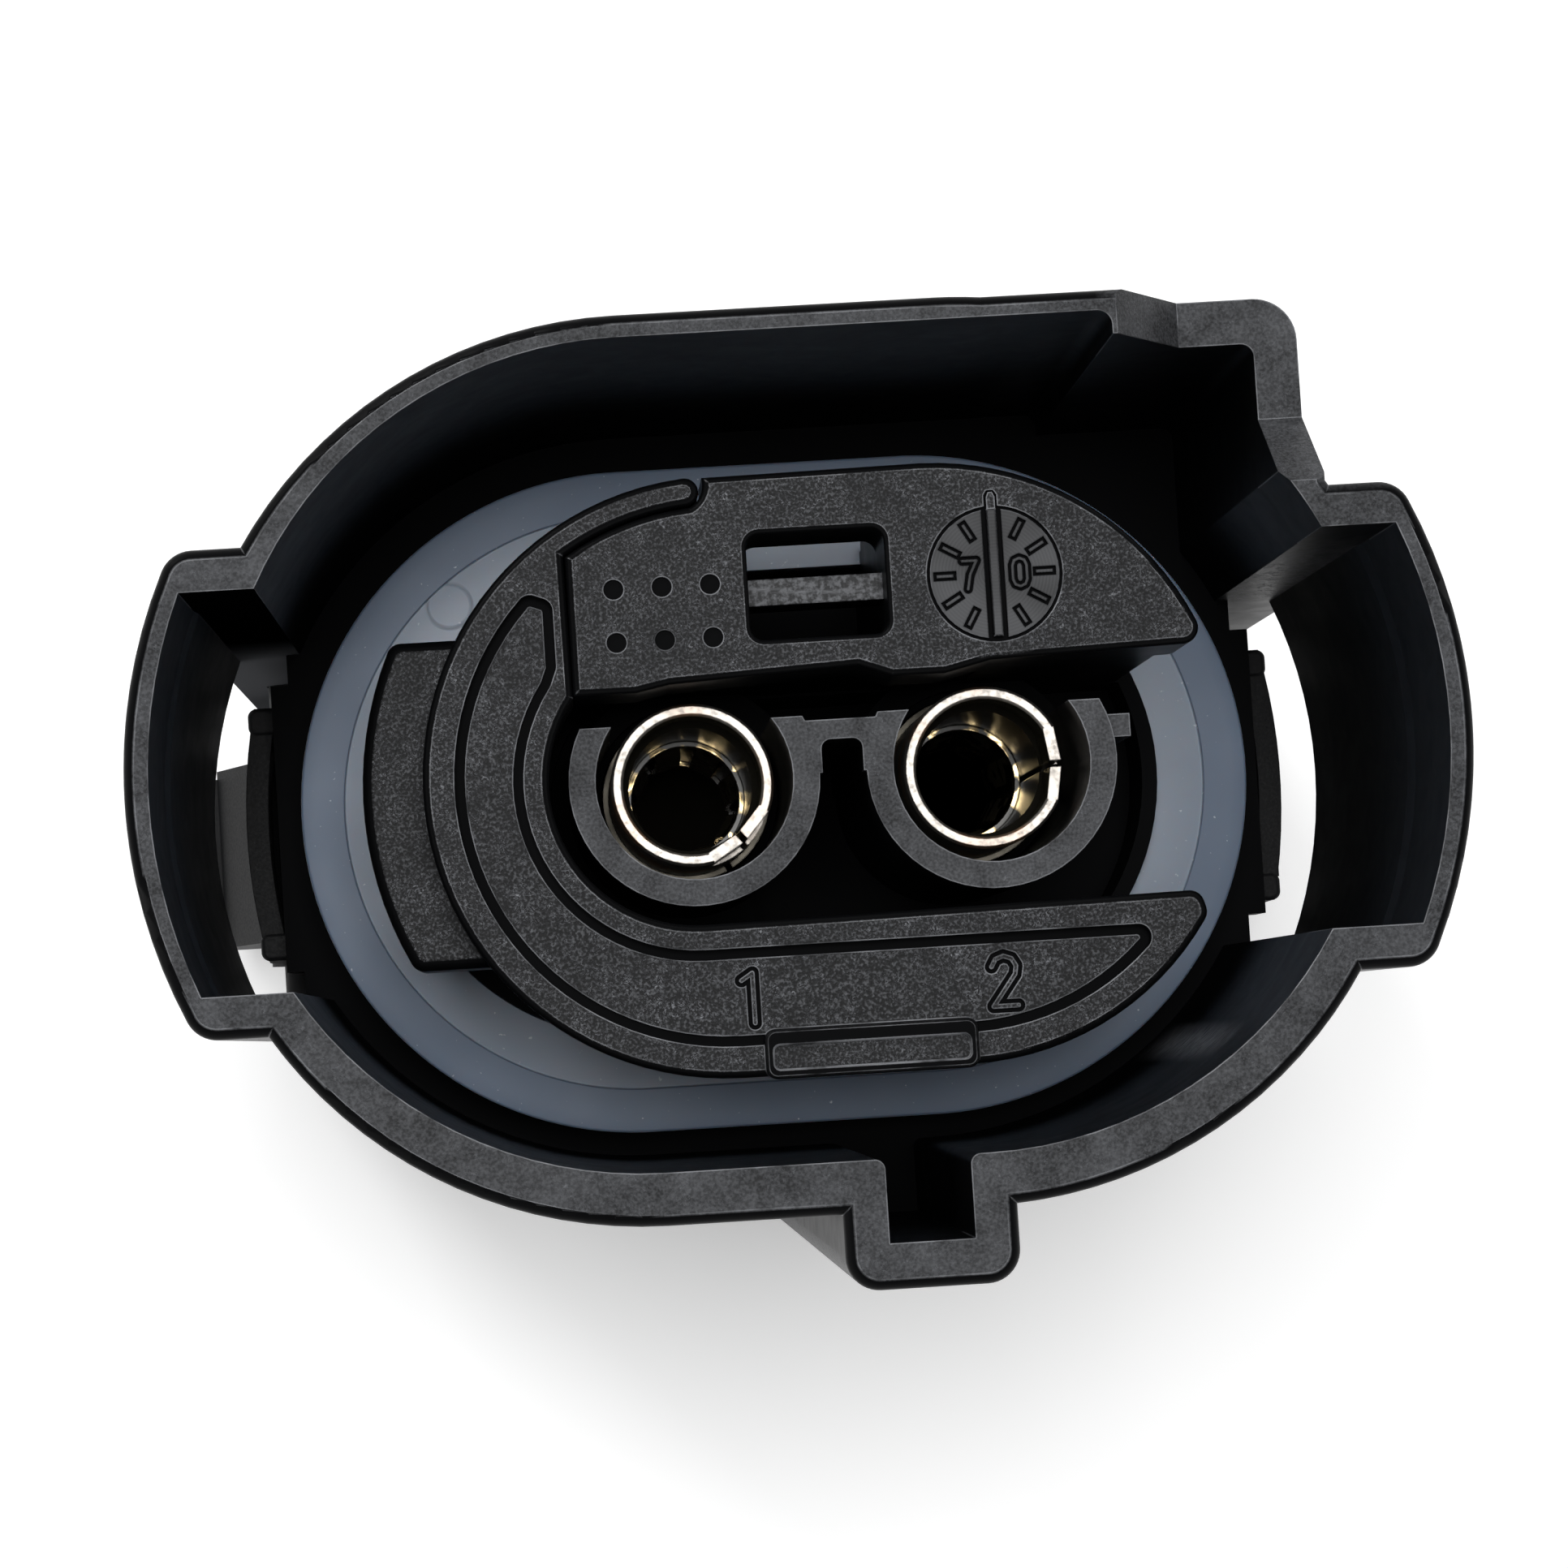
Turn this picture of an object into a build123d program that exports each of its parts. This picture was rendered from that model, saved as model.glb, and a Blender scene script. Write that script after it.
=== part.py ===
from build123d import *
import math
import os

# Two-way sealed automotive wire connector with round sockets, in millimetres.
# +Z points out of the mating mouth, +X to the side with the coding corner,
# and the key channel is at -Y. The flat rear rim stands on z = 0.

# Shroud
LENGTH = 42.0
OVAL_HALF = 4.75
OVAL_R = 13.43
MOUTH_R = 12.29
MOUTH_SHIFT = 0.43
FLOOR_LOW = 21.5
FLOOR_TOP = 23.5
RIM_ROUND = 0.35

# Side guards over the latch windows
GUARD_CENTRE = 4.15
GUARD_R = 15.75
GUARD_HALF = 7.2
GUARD_CORNER = 1.0
GUARD_REAR = 22.3
CHANNEL_CENTRE = 3.85
CHANNEL_R = 15.3
CHANNEL_HALF = 5.93
FLOOR_EDGE = 16.2
FLOOR_LIP_X = 16.8
FLOOR_LIP_HALF = 4.9
LEAD_IN_Z = (36.6, 37.4)
LEAD_IN_STEP = 0.08
POCKET_WALL = (14.0, 15.4)

# Coding corner and key channel
CORNER_X = 16.0
CORNER_Y = 13.36
CORNER_ROUND = 1.3
CORNER_IN_X = 14.66
CORNER_IN_Y = 12.0
CORNER_DROP = 3.0
CORNER_RAMP_X = (10.1, 12.4)
CORNER_RAMP_Y = (7.35, 9.67)
MOUTH_STRAIGHT_X = 9.95
MOUTH_STEP_ROUND = 0.45
KEY_X = 2.92
KEY_WIDTH = 5.15
KEY_LOW = 15.7
KEY_ROUND = 1.0
SLOT_WIDTH = 2.52
SLOT_LOW = 14.33
SLOT_MOUTH_ROUND = 0.3

# Ribs and collar on the outside
RIB_WIDTH = 1.1
RIB_RISE = 0.45
RIB_Z = (1.0, 33.0)
RIB_TOP_X = (-4.4, -1.6)
RIB_LOW_X = (-4.1, -1.6)
COLLAR_RISE = 0.35
COLLAR_TOP = 2.4

# Core that carries the seal, the towers and the lock
CORE_R = 7.85
CORE_TOP = 28.3
CORE_WALL = 0.5
SEAT_REACH = 8.6
SEAT_TOP = 36.6
PIT_FLOOR = 30.0
TOWER_TOP = 39.06
TOWER_R = 3.79
TOWER_BORE = 2.98
TOWER_CUT_Y = 1.5
WEB_Y = (0.75, 1.35)
NOTCH_X = (0.78, 2.02)
NOTCH_ROUND = 0.3
TOWER_EAR_Y = (0.35, 1.05)
TOWER_EAR_DROP = 0.6
CAVITY_R = 2.78
TERMINAL_X = (-3.1, 5.9)
TERMINAL_Y = -0.25

# Rear end
BODY_R = 9.0
BODY_REAR = 2.6
SKIRT_R = 12.1
SKIRT_DEEP = 20.0
SEAL_BORE_R = 4.0
SEAL_BORE_DEEP = 13.0

# Lock and retainer, which share one face level
FACE = 39.8
LOCK_CENTRE = (-2.2, -0.22)
LOCK_R = 9.05
ARM_CENTRE = (4.7, -0.6)
ARM_R = 8.67
LOCK_IN_R = 4.38
BAND = 0.76
RIM_BAND = 0.95
FLOOR_DIP = 0.3
JOINT_X = -6.65
UPPER_ARM_R = 8.2
NOSE_TOP = (11.85, -4.47)
LOCK_GAP = 0.05
LOCK_ROUND = 0.24
NOSE_ROUND = 0.45
TAB_R = 11.0
TAB_Y = (-5.45, 4.65)
TAB_Z = (34.0, 37.0)
TAB_ROUND = 0.36
TAB_CORNER = 0.45
LOCK_TRAVEL = 1.8
TONGUE_X = (-6.0, 6.0)
TONGUE_Y = (-7.6, -6.4)
TONGUE_DEEP = 1.9
TONGUE_PLAY = 0.1
LEDGE_CENTRE = (1.67, -8.62)
LEDGE_SIZE = (6.4, 1.5)
LEDGE_CORNER = 0.35
LEDGE_BASE = 0.6
LEDGE_RISE = 0.25
DISH_CENTRE = (1.67, -8.72)
DISH_SIZE = (5.9, 0.75)
DISH_CORNER = 0.2
DISH_DEPTH = 0.15
NUMERAL_HEIGHT = 1.5
NUMERAL_ONE = (-1.75, -6.9)
NUMERAL_TWO = (5.8, -6.85)
PLATE_CENTRE = (4.2, 0.0)
PLATE_R = 8.85
PLATE_GAP = 0.06
PLATE_ROUND = 0.22
PLATE_NOSE_ROUND = 0.5
OUTLINE_WIDTH = 0.31
OUTLINE_DEPTH = 0.18
POCKET_CORNER = 0.4

# Window in the retainer, with a bar across it and a well below
WINDOW_CENTRE = (0.92, 5.38)
WINDOW_SIZE = (4.15, 3.2)
WINDOW_CORNER = 0.4
WINDOW_ROUND = 0.16
WINDOW_BAR_Y = (4.95, 5.75)
WINDOW_BAR_DROP = 1.3
WELL_X = (-1.0, 3.3)
WELL_Y = (3.95, 7.4)
WELL_FLOOR = 24.5
WELL_SHELF = 26.3

# Date insert and marks, engraved as outlines
DIAL = (6.26, 5.37)
DIAL_R = 2.0
MARK_DEPTH = 0.15
POINTER_HALF = 0.15
POINTER_RISE = 0.12
POINTER_MOAT = 0.15
TIP_HALF = 0.13
TIP_END = 2.45
TIP_MOAT = 0.07
PIP_R = 0.3
PIP_DEPTH = 0.12
PIP_START = (-5.2, 5.55)
PIP_STEP = (1.45, -1.6)

# Perimeter seal
SEAL_R = 11.04
SEAL_BODY_R = 10.5
SEAL_TOP = 27.3
SEAL_STEP = 1.25
SEAL_DROP = 0.4
EJECTOR = (-10.45, 6.85)
EJECTOR_R = 0.8

# Latch levers, with the frame and the finger pad as side outlines in the XZ plane
PIVOT_X = 16.95
PIVOT_Z = 13.0
PIN_R = 0.7
PIN_GAP = 0.05
LEVER_HALF = 4.4
PAD_HALF = 3.4
BAR_Z = (19.4, 21.0)
BAR_OUT = 18.1
BAR_BOW = 20.0
BAR_THICK = 0.78
BEAD_X = (16.68, 17.84)
BEAD_Y = (3.45, 4.4)
FRAME_SIDE = [(16.45, 12.0), (16.72, 14.2), (16.72, 19.0), (17.3, 19.6), (17.3, 20.6),
              (17.6, 20.6), (17.75, 18.6), (17.75, 12.4)]
FRAME_HOLE_HALF = 2.9
FRAME_HOLE_Z = (15.2, 19.4)
PAD_SIDE = [(16.45, 14.0), (16.3, 11.2), (18.8, 6.4), (18.8, 3.4), (20.3, 3.4),
            (20.3, 6.8), (17.9, 11.6), (17.75, 14.0)]
GRIP_X = (20.0, 20.55)
GRIP_LOW = 4.0
GRIP_STEP = 0.8
BOSS_R = 1.15

# Terminals
BARREL_R = 2.5
SHEET = 0.38
BARREL_TOP = 37.06
BARREL_REAR = 18.0
BARREL_FLOOR = 0.5
BARREL_MOUTH = 2.0
BARREL_BORE = 1.93
SEAM_ANGLES = (-50.0, 0.0)
SEAM_WIDTH = 0.2
SEAM_BEND = 28.0
SEAM_DIP = 0.11
SLEEVE_WALL = 0.2
SLEEVE_Z = (20.0, 31.0)
CAGE_WALL = 0.16
CAGE_Z = (20.5, 30.0)
BEAMS = 8
BEAM_WIDTH = 0.84
BEAM_BOW = 0.32
BEAM_TURN = 15.0

# Rear cap
CAP_REAR = 0.0
CAP_PLATE = 2.6
CAP_R = 10.3
CAP_TOP = 8.0
EXIT_R = 2.7
EXIT_TOP = 5.0


# Small helpers
def stadium(radius, low, high, shift=0.0):
    """Solid with an oval section between two heights."""
    section = Pos(0, shift, low) * SlotCenterToCenter(2 * OVAL_HALF, 2 * radius)
    return extrude(section, amount=high - low)


def block(x, y, z):
    """Box between two values on each axis."""
    size = Box(x[1] - x[0], y[1] - y[0], z[1] - z[0])
    return Pos(sum(x) / 2, sum(y) / 2, sum(z) / 2) * size


def drum(x, y, radius, low, high):
    """Round bar along Z between two heights."""
    return Pos(x, y, (low + high) / 2) * Cylinder(radius, high - low)


def prism(outline, low, high):
    """Solid over a closed outline in the XY plane."""
    return extrude(Pos(0, 0, low) * make_face(outline), amount=high - low)


def around(centre, radius, degrees):
    """Point on a circle."""
    turn = math.radians(degrees)
    return (centre[0] + radius * math.cos(turn), centre[1] + radius * math.sin(turn))


def grooves(paths, width, place, face, depth):
    """Thin tool that follows drawn strokes, for engraving into a face."""
    cutter = Part()
    low, high = face - depth, face + 0.5
    for path in paths:
        for (ax, ay), (bx, by) in zip(path, path[1:]):
            length = math.hypot(bx - ax, by - ay)
            turn = math.degrees(math.atan2(by - ay, bx - ax))
            bar = Pos(0, 0, (low + high) / 2) * Box(length, width, high - low)
            cutter += Pos(place[0] + (ax + bx) / 2, place[1] + (ay + by) / 2, 0) * Rot(0, 0, turn) * bar
        for x, y in path:
            cutter += drum(place[0] + x, place[1] + y, width / 2, low, high)
    return cutter


def outlined(paths, place, face, depth, wide=0.4, core=0.14):
    """Thin moat around drawn strokes, whose middles stay level with the face."""
    moat = grooves(paths, wide, place, face, depth)
    return moat - grooves(paths, core, place, face, depth + 0.1)


def bow(centre, radius, degrees):
    """Points on a circle at the given angles."""
    return [around(centre, radius, angle) for angle in degrees]


def numeral(digit, height):
    """Strokes of a plain numeral, centred on its own middle."""
    h = height / 2
    w = height * 0.25
    top = (0, h - w)
    low = (0, w - h)
    strokes = {
        "0": [bow(top, w, (0, 45, 90, 135, 180)) + bow(low, w, (180, 225, 270, 315, 360)) + [(w, h - w)]],
        "1": [[(-w * 0.9, h * 0.72), (0, h), (0, -h)]],
        "2": [bow(top, w, (170, 130, 90, 50, 10, -30)) + [(-w, -h), (w, -h)]],
        "7": [[(-w, h), (w, h), (0, 0), (-w * 0.4, -h)]],
    }
    return strokes[digit]


# Outlines of the lock and the retainer, seen from the mating mouth
def lock_outline(grow=0.0):
    """Outer edge of the C-shaped lock, closed through its opening."""
    left = LOCK_CENTRE
    low_y = left[1] - LOCK_R - grow
    outer_r = LOCK_R + grow
    start = around(left, outer_r, 95.0)
    tip = around(ARM_CENTRE, ARM_R + grow, -32.0)
    arc = ThreePointArc(start, around(left, outer_r, 180.0), (left[0], low_y))
    bottom = Line((left[0], low_y), (ARM_CENTRE[0], ARM_CENTRE[1] - ARM_R - grow))
    sweep = ThreePointArc((ARM_CENTRE[0], ARM_CENTRE[1] - ARM_R - grow),
                          around(ARM_CENTRE, ARM_R + grow, -60.0), tip)
    nose = Line(tip, NOSE_TOP)
    inner = Line(NOSE_TOP, (TERMINAL_X[0], TERMINAL_Y - LOCK_IN_R))
    mouth_end = around((TERMINAL_X[0], TERMINAL_Y), LOCK_IN_R, 143.0)
    bowl = ThreePointArc((TERMINAL_X[0], TERMINAL_Y - LOCK_IN_R),
                         around((TERMINAL_X[0], TERMINAL_Y), LOCK_IN_R, 205.0), mouth_end)
    under_left = (JOINT_X, left[1] + math.sqrt(UPPER_ARM_R ** 2 - (JOINT_X - left[0]) ** 2))
    joint = Line(mouth_end, under_left)
    end_low = around(left, UPPER_ARM_R, 95.0)
    under = ThreePointArc(under_left, around(left, UPPER_ARM_R, 110.0), end_low)
    cap = ThreePointArc(end_low, around(left, (UPPER_ARM_R + outer_r) / 2, 91.8), start)
    return [arc, bottom, sweep, nose, inner, bowl, joint, under, cap]


def plate_outline():
    """Edge of the retainer plate, beside and inside the lock's upper arm."""
    top_y = PLATE_CENTRE[1] + PLATE_R
    left = LOCK_CENTRE
    start = (PLATE_CENTRE[0], top_y)
    nose = around(PLATE_CENTRE, PLATE_R, 19.5)
    arc = ThreePointArc(start, around(PLATE_CENTRE, PLATE_R, 55.0), nose)
    lower = Polyline(nose, (6.0, 2.8), (4.6, 2.48), (3.0, 2.48), (2.0, 2.86),
                     (-3.7, 2.62), (-4.7, 2.42), (JOINT_X + PLATE_GAP, 2.42))
    inner_r = UPPER_ARM_R - PLATE_GAP
    turn = math.acos((JOINT_X + PLATE_GAP - left[0]) / inner_r)
    corner = around(left, inner_r, math.degrees(turn))
    side = Line((JOINT_X + PLATE_GAP, 2.42), corner)
    end_low = around(left, inner_r, 94.0)
    under = ThreePointArc(corner, around(left, inner_r, 108.0), end_low)
    round_up = ThreePointArc(end_low, (-2.4, 8.3), (-2.36, 8.78))
    top = Line((-2.36, 8.78), start)
    return [arc, lower, side, under, round_up, top]


# The housing, moulded in one piece
def make_housing():
    shell = stadium(OVAL_R, 0, LENGTH)
    corner = block((0, CORNER_X), (0, CORNER_Y), (GUARD_REAR, LENGTH))
    corner = fillet(corner.edges().filter_by(Axis.Z).sort_by(Axis.X)[-2:].sort_by(Axis.Y)[-1:],
                    CORNER_ROUND)
    key = block((KEY_X - KEY_WIDTH / 2, KEY_X + KEY_WIDTH / 2), (-KEY_LOW, -10), (0, LENGTH))
    key = fillet(key.edges().filter_by(Axis.Z).sort_by(Axis.Y)[:2], KEY_ROUND)
    body = shell + corner + key
    for side in (1, -1):
        guard = drum(side * GUARD_CENTRE, 0, GUARD_R, 0, LENGTH)
        reach = (10, 25) if side > 0 else (-25, -10)
        guard &= block(reach, (-GUARD_HALF, GUARD_HALF), (0, LENGTH))
        outer = guard.edges().filter_by(Axis.Z)
        outer = [e for e in outer if abs(e.center().X) > 15]
        body += fillet(outer, GUARD_CORNER)
    body = round_outer_rims(body)
    body += make_ribs()

    # Mating mouth, side channels, coding pocket and key slot
    body -= stadium(MOUTH_R, FLOOR_TOP, LENGTH + 1, MOUTH_SHIFT)
    straight = block((4, MOUTH_STRAIGHT_X), (4, MOUTH_R + MOUTH_SHIFT), (FLOOR_TOP, LENGTH + 1))
    far = straight.edges().filter_by(Axis.Z).sort_by(Axis.X)[-2:].sort_by(Axis.Y)[-1:]
    body -= fillet(far, MOUTH_STEP_ROUND)
    pocket = block((4, CORNER_IN_X), (4, CORNER_IN_Y), (FLOOR_TOP, LENGTH + 1))
    pocket = fillet(pocket.edges().filter_by(Axis.Z).sort_by(Axis.X)[-2:].sort_by(Axis.Y)[-1:], 0.4)
    body -= pocket
    slot_x = (KEY_X - SLOT_WIDTH / 2, KEY_X + SLOT_WIDTH / 2)
    body -= block(slot_x, (-SLOT_LOW, -9), (FLOOR_TOP, LENGTH + 1))
    lips = [e for e in body.edges().filter_by(Axis.Z)
            if min(abs(e.center().X - x) for x in slot_x) < 0.01 and -12.5 < e.center().Y < -10]
    body = fillet(lips, SLOT_MOUTH_ROUND)
    for side in (1, -1):
        channel = channel_drum(side)
        near = (FLOOR_EDGE, 25) if side > 0 else (-25, -FLOOR_EDGE)
        body -= channel & block(near, (-CHANNEL_HALF, CHANNEL_HALF), (-1, LENGTH + 1))
        mid = (10, 25) if side > 0 else (-25, -10)
        body -= channel & block(mid, (-CHANNEL_HALF, CHANNEL_HALF), (FLOOR_TOP, LENGTH + 1))
        body -= block(near, (-CHANNEL_HALF, CHANNEL_HALF), (-1, GUARD_REAR))
        inner = (POCKET_WALL[1], 25) if side > 0 else (-25, -POCKET_WALL[1])
        body -= block(inner, (-CHANNEL_HALF, CHANNEL_HALF), (-1, FLOOR_LOW))
        lip = (FLOOR_EDGE - 0.4, FLOOR_LIP_X) if side > 0 else (-FLOOR_LIP_X, 0.4 - FLOOR_EDGE)
        body += block(lip, (-FLOOR_LIP_HALF, FLOOR_LIP_HALF), (FLOOR_LOW, FLOOR_TOP))

    # Lowered rim at the coding corner, with a ramp on each side
    low = LENGTH - CORNER_DROP
    ramp_x = extrude(Plane.XZ * make_face(Polyline(
        (CORNER_RAMP_X[0], LENGTH), (CORNER_RAMP_X[1], low), (25, low), (25, LENGTH + 2),
        (CORNER_RAMP_X[0], LENGTH + 2), close=True)), amount=-25)
    ramp_y = extrude(Plane.YZ * make_face(Polyline(
        (CORNER_RAMP_Y[0], LENGTH), (CORNER_RAMP_Y[1], low), (25, low), (25, LENGTH + 2),
        (CORNER_RAMP_Y[0], LENGTH + 2), close=True)), amount=25)
    body -= ramp_x & ramp_y

    # Hollow between the rear skirt and the rear body
    hollow = stadium(SKIRT_R, -1, SKIRT_DEEP) - stadium(BODY_R, -2, SKIRT_DEEP + 1)
    for side in (1, -1):
        wall = (POCKET_WALL[0], 25) if side > 0 else (-25, -POCKET_WALL[0])
        hollow -= block(wall, (-GUARD_HALF, GUARD_HALF), (-2, SKIRT_DEEP + 1))
    body -= hollow
    body -= stadium(BODY_R + 1.0, -1, BODY_REAR) & block((-13.9, 13.9), (-20, 20), (-1, BODY_REAR))

    # Core, seat for the lock and retainer, towers and cavities
    body += stadium(CORE_R, FLOOR_TOP - 0.5, CORE_TOP)
    body += make_seat()
    body -= make_pit()
    body -= block(WELL_X, WELL_Y, (WELL_FLOOR, SEAT_TOP + 1))
    body -= block(WELL_X, (WELL_Y[0], CORE_R + 0.6), (WELL_SHELF, SEAT_TOP + 1))
    body += make_towers()
    for x in TERMINAL_X:
        body -= drum(x, TERMINAL_Y, TOWER_BORE, PIT_FLOOR, LENGTH)
        body -= drum(x, TERMINAL_Y, CAVITY_R, SEAL_BORE_DEEP - 1, PIT_FLOOR + 1)
        body -= drum(x, TERMINAL_Y, SEAL_BORE_R, -1, SEAL_BORE_DEEP)

    # Pivot holes and stops for the levers, and catches for the rear cap
    for side in (1, -1):
        hole = Pos(side * PIVOT_X, 0, PIVOT_Z) * Rot(90, 0, 0)
        body -= hole * Cylinder(PIN_R + PIN_GAP, 2 * GUARD_HALF + 2)
        stop_x = (POCKET_WALL[1] - 0.2, 16.62) if side > 0 else (-16.62, -POCKET_WALL[1] + 0.2)
        for y in (-4.0, 3.0):
            body += block(stop_x, (y, y + 1.0), (16.0, 18.0))
    for side in (1, -1):
        body += catch_wedge(side)
    return body


def make_ribs():
    """Rear collar and long stiffening ribs on the flat top and bottom."""
    collar = stadium(OVAL_R + COLLAR_RISE, 0, COLLAR_TOP)
    collar = chamfer(collar.faces().sort_by(Axis.Z)[-1].edges(), COLLAR_RISE - 0.05)
    ribs = collar - stadium(OVAL_R - 0.1, -1, COLLAR_TOP + 1)
    top = OVAL_R + RIB_RISE
    side_view = Polyline((OVAL_R - 0.3, RIB_Z[0]), (top, RIB_Z[0]), (top, RIB_Z[1] - 1.2),
                         (OVAL_R - 0.3, RIB_Z[1]), close=True)
    rib = Pos(-RIB_WIDTH / 2, 0, 0) * extrude(Plane.YZ * make_face(side_view), amount=RIB_WIDTH)
    for x in RIB_TOP_X:
        ribs += Pos(x, 0, 0) * rib
    for x in RIB_LOW_X:
        ribs += Pos(x, 0, 0) * mirror(rib, Plane.XZ)
    return ribs


def channel_drum(side):
    """Round inside of a side guard, slightly wider near the mouth."""
    centre = side * CHANNEL_CENTRE
    tight = CHANNEL_R - LEAD_IN_STEP
    low, high = LEAD_IN_Z
    ramp = Pos(centre, 0, (low + high) / 2) * Cone(tight, CHANNEL_R, high - low)
    return drum(centre, 0, tight, -1, low) + ramp + drum(centre, 0, CHANNEL_R, high, LENGTH + 1)


def round_outer_rims(body):
    """Soft outer edge around the mating rim."""
    top = body.faces().sort_by(Axis.Z)[-1]
    return fillet(top.edges(), RIM_ROUND)


def catch_wedge(side):
    """Ramp on the rear body that the cap snaps over."""
    wedge = Polyline((side * (BODY_R - 0.2), 4.6), (side * (BODY_R + 0.15), 4.6),
                     (side * (BODY_R + 0.75), 6.2), (side * (BODY_R - 0.2), 6.2), close=True)
    return Pos(-2.4, 0, 0) * extrude(Plane.YZ * make_face(wedge), amount=4.8)


def make_seat():
    """Raised land under the lock and the retainer."""
    lock = prism(lock_outline(-0.5), CORE_TOP - 0.5, SEAT_TOP)
    inset = prism(plate_outline(), CORE_TOP - 0.5, SEAT_TOP) & stadium(SEAT_REACH - 0.5, 20, SEAT_TOP)
    inset &= block((-12, 11.4), (2.9, 9), (20, SEAT_TOP))
    bridge = block((-7.6, JOINT_X + 1.0), (2.9, 6.4), (CORE_TOP - 0.5, SEAT_TOP))
    seat = (lock + inset + bridge) & stadium(SEAT_REACH, 20, SEAT_TOP, -0.25)
    groove_x = (TONGUE_X[0] - LOCK_TRAVEL - TONGUE_PLAY, TONGUE_X[1] + TONGUE_PLAY)
    groove_y = (TONGUE_Y[0] - TONGUE_PLAY, TONGUE_Y[1] + TONGUE_PLAY)
    return seat - block(groove_x, groove_y, (SEAT_TOP - TONGUE_DEEP - TONGUE_PLAY, SEAT_TOP + 1))


def make_pit():
    """Dark well around the towers, open towards the coding side."""
    shape = stadium(CORE_R - CORE_WALL, PIT_FLOOR - 4.5, SEAT_TOP + 1)
    shape &= block((-1, 20), (-4.9, 2.9), (PIT_FLOOR - 4.5, SEAT_TOP + 1))
    well = block((-3.1, 6.0), (-4.9, 3.0), (PIT_FLOOR, SEAT_TOP + 1))
    bowl = drum(TERMINAL_X[0], TERMINAL_Y, LOCK_IN_R + 0.25, PIT_FLOOR, SEAT_TOP + 1)
    bowl &= block((-9, 2), (-6, 3.0), (PIT_FLOOR, SEAT_TOP + 1))
    upper = block((JOINT_X - 0.3, 0), (1.0, 3.0), (PIT_FLOOR, SEAT_TOP + 1))
    return shape + well + bowl + upper


def make_towers():
    """Two open-topped cups joined by a web with a notch below it."""
    foot = PIT_FLOOR - 6
    towers = block(TERMINAL_X, (TERMINAL_Y, WEB_Y[1]), (foot, TOWER_TOP))
    for x in TERMINAL_X:
        cup = drum(x, TERMINAL_Y, TOWER_R, foot, TOWER_TOP)
        towers += cup - block((x - 5, x + 5), (TOWER_CUT_Y, 6), (PIT_FLOOR + 1, TOWER_TOP + 1))
    notch = block(NOTCH_X, (-6, WEB_Y[0]), (foot - 1, TOWER_TOP + 1))
    corners = notch.edges().filter_by(Axis.Z).sort_by(Axis.Y)[-2:]
    towers -= fillet(corners, NOTCH_ROUND)
    outer = TERMINAL_X[1] + TOWER_R
    towers += block((outer - 0.3, outer + 0.55), TOWER_EAR_Y, (foot, TOWER_TOP - TOWER_EAR_DROP))
    return towers


# The sliding terminal lock
def make_lock():
    slab = prism(lock_outline(), SEAT_TOP + LOCK_GAP, FACE)
    nose = [e for e in slab.edges().filter_by(Axis.Z) if e.center().X > 11.5]
    slab = round_face(fillet(nose, NOSE_ROUND), LOCK_ROUND)
    floor = lock_pocket()
    moat = floor - offset(floor, -OUTLINE_WIDTH)
    slab -= extrude(Pos(0, 0, FACE - FLOOR_DIP) * floor, amount=2)
    slab -= extrude(Pos(0, 0, FACE - FLOOR_DIP - OUTLINE_DEPTH) * moat, amount=2)
    slab += make_tab()
    slab += pull_ledge()
    slab += block(TONGUE_X, TONGUE_Y, (SEAT_TOP - TONGUE_DEEP, SEAT_TOP + 0.2))
    slab -= outlined(numeral("1", NUMERAL_HEIGHT), NUMERAL_ONE, FACE - FLOOR_DIP, MARK_DEPTH)
    slab -= outlined(numeral("2", NUMERAL_HEIGHT), NUMERAL_TWO, FACE - FLOOR_DIP, MARK_DEPTH)
    return slab


def round_face(solid, radius):
    """Rounded edge around the front face."""
    face = solid.faces().sort_by(Axis.Z)[-1]
    return fillet(face.outer_wire().edges(), radius)


def lock_pocket():
    """Outline of the crescent floor between the rim band and the inner band."""
    left = LOCK_CENTRE
    outer_r = LOCK_R - RIM_BAND
    inner_r = LOCK_IN_R + BAND
    bowl = (TERMINAL_X[0], TERMINAL_Y)
    low = left[1] - outer_r
    arm_r = ARM_R - RIM_BAND
    top = around(left, outer_r, 134.0)
    arc = ThreePointArc(top, around(left, outer_r, 190.0), (left[0], low))
    base = Line((left[0], low), (ARM_CENTRE[0], ARM_CENTRE[1] - arm_r))
    tip = around(ARM_CENTRE, arm_r, -41.0)
    sweep = ThreePointArc((ARM_CENTRE[0], ARM_CENTRE[1] - arm_r),
                          around(ARM_CENTRE, arm_r, -65.0), tip)
    back = Polyline(tip, (10.0, bowl[1] - inner_r), (bowl[0], bowl[1] - inner_r))
    bowl_end = around(bowl, inner_r, 144.0)
    bend = ThreePointArc((bowl[0], bowl[1] - inner_r), around(bowl, inner_r, 205.0), bowl_end)
    neck = Polyline(bowl_end, (-7.05, 3.3), (-7.05, 5.3), top)
    floor = make_face([arc, base, sweep, back, bend, neck])
    return offset(offset(floor, -POCKET_CORNER), POCKET_CORNER)


def make_tab():
    """Lower finger tab that the lock is pushed with."""
    outer = drum(LOCK_CENTRE[0], LOCK_CENTRE[1], TAB_R, TAB_Z[0], TAB_Z[1])
    inner = drum(LOCK_CENTRE[0], LOCK_CENTRE[1], LOCK_R - 0.4, TAB_Z[0] - 1, TAB_Z[1] + 1)
    tab = (outer & block((-20, -8), TAB_Y, (TAB_Z[0] - 1, TAB_Z[1] + 1))) - inner
    posts = [e for e in tab.edges().filter_by(Axis.Z) if e.center().X < -11.2]
    return round_face(fillet(posts, TAB_CORNER), TAB_ROUND)


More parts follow.
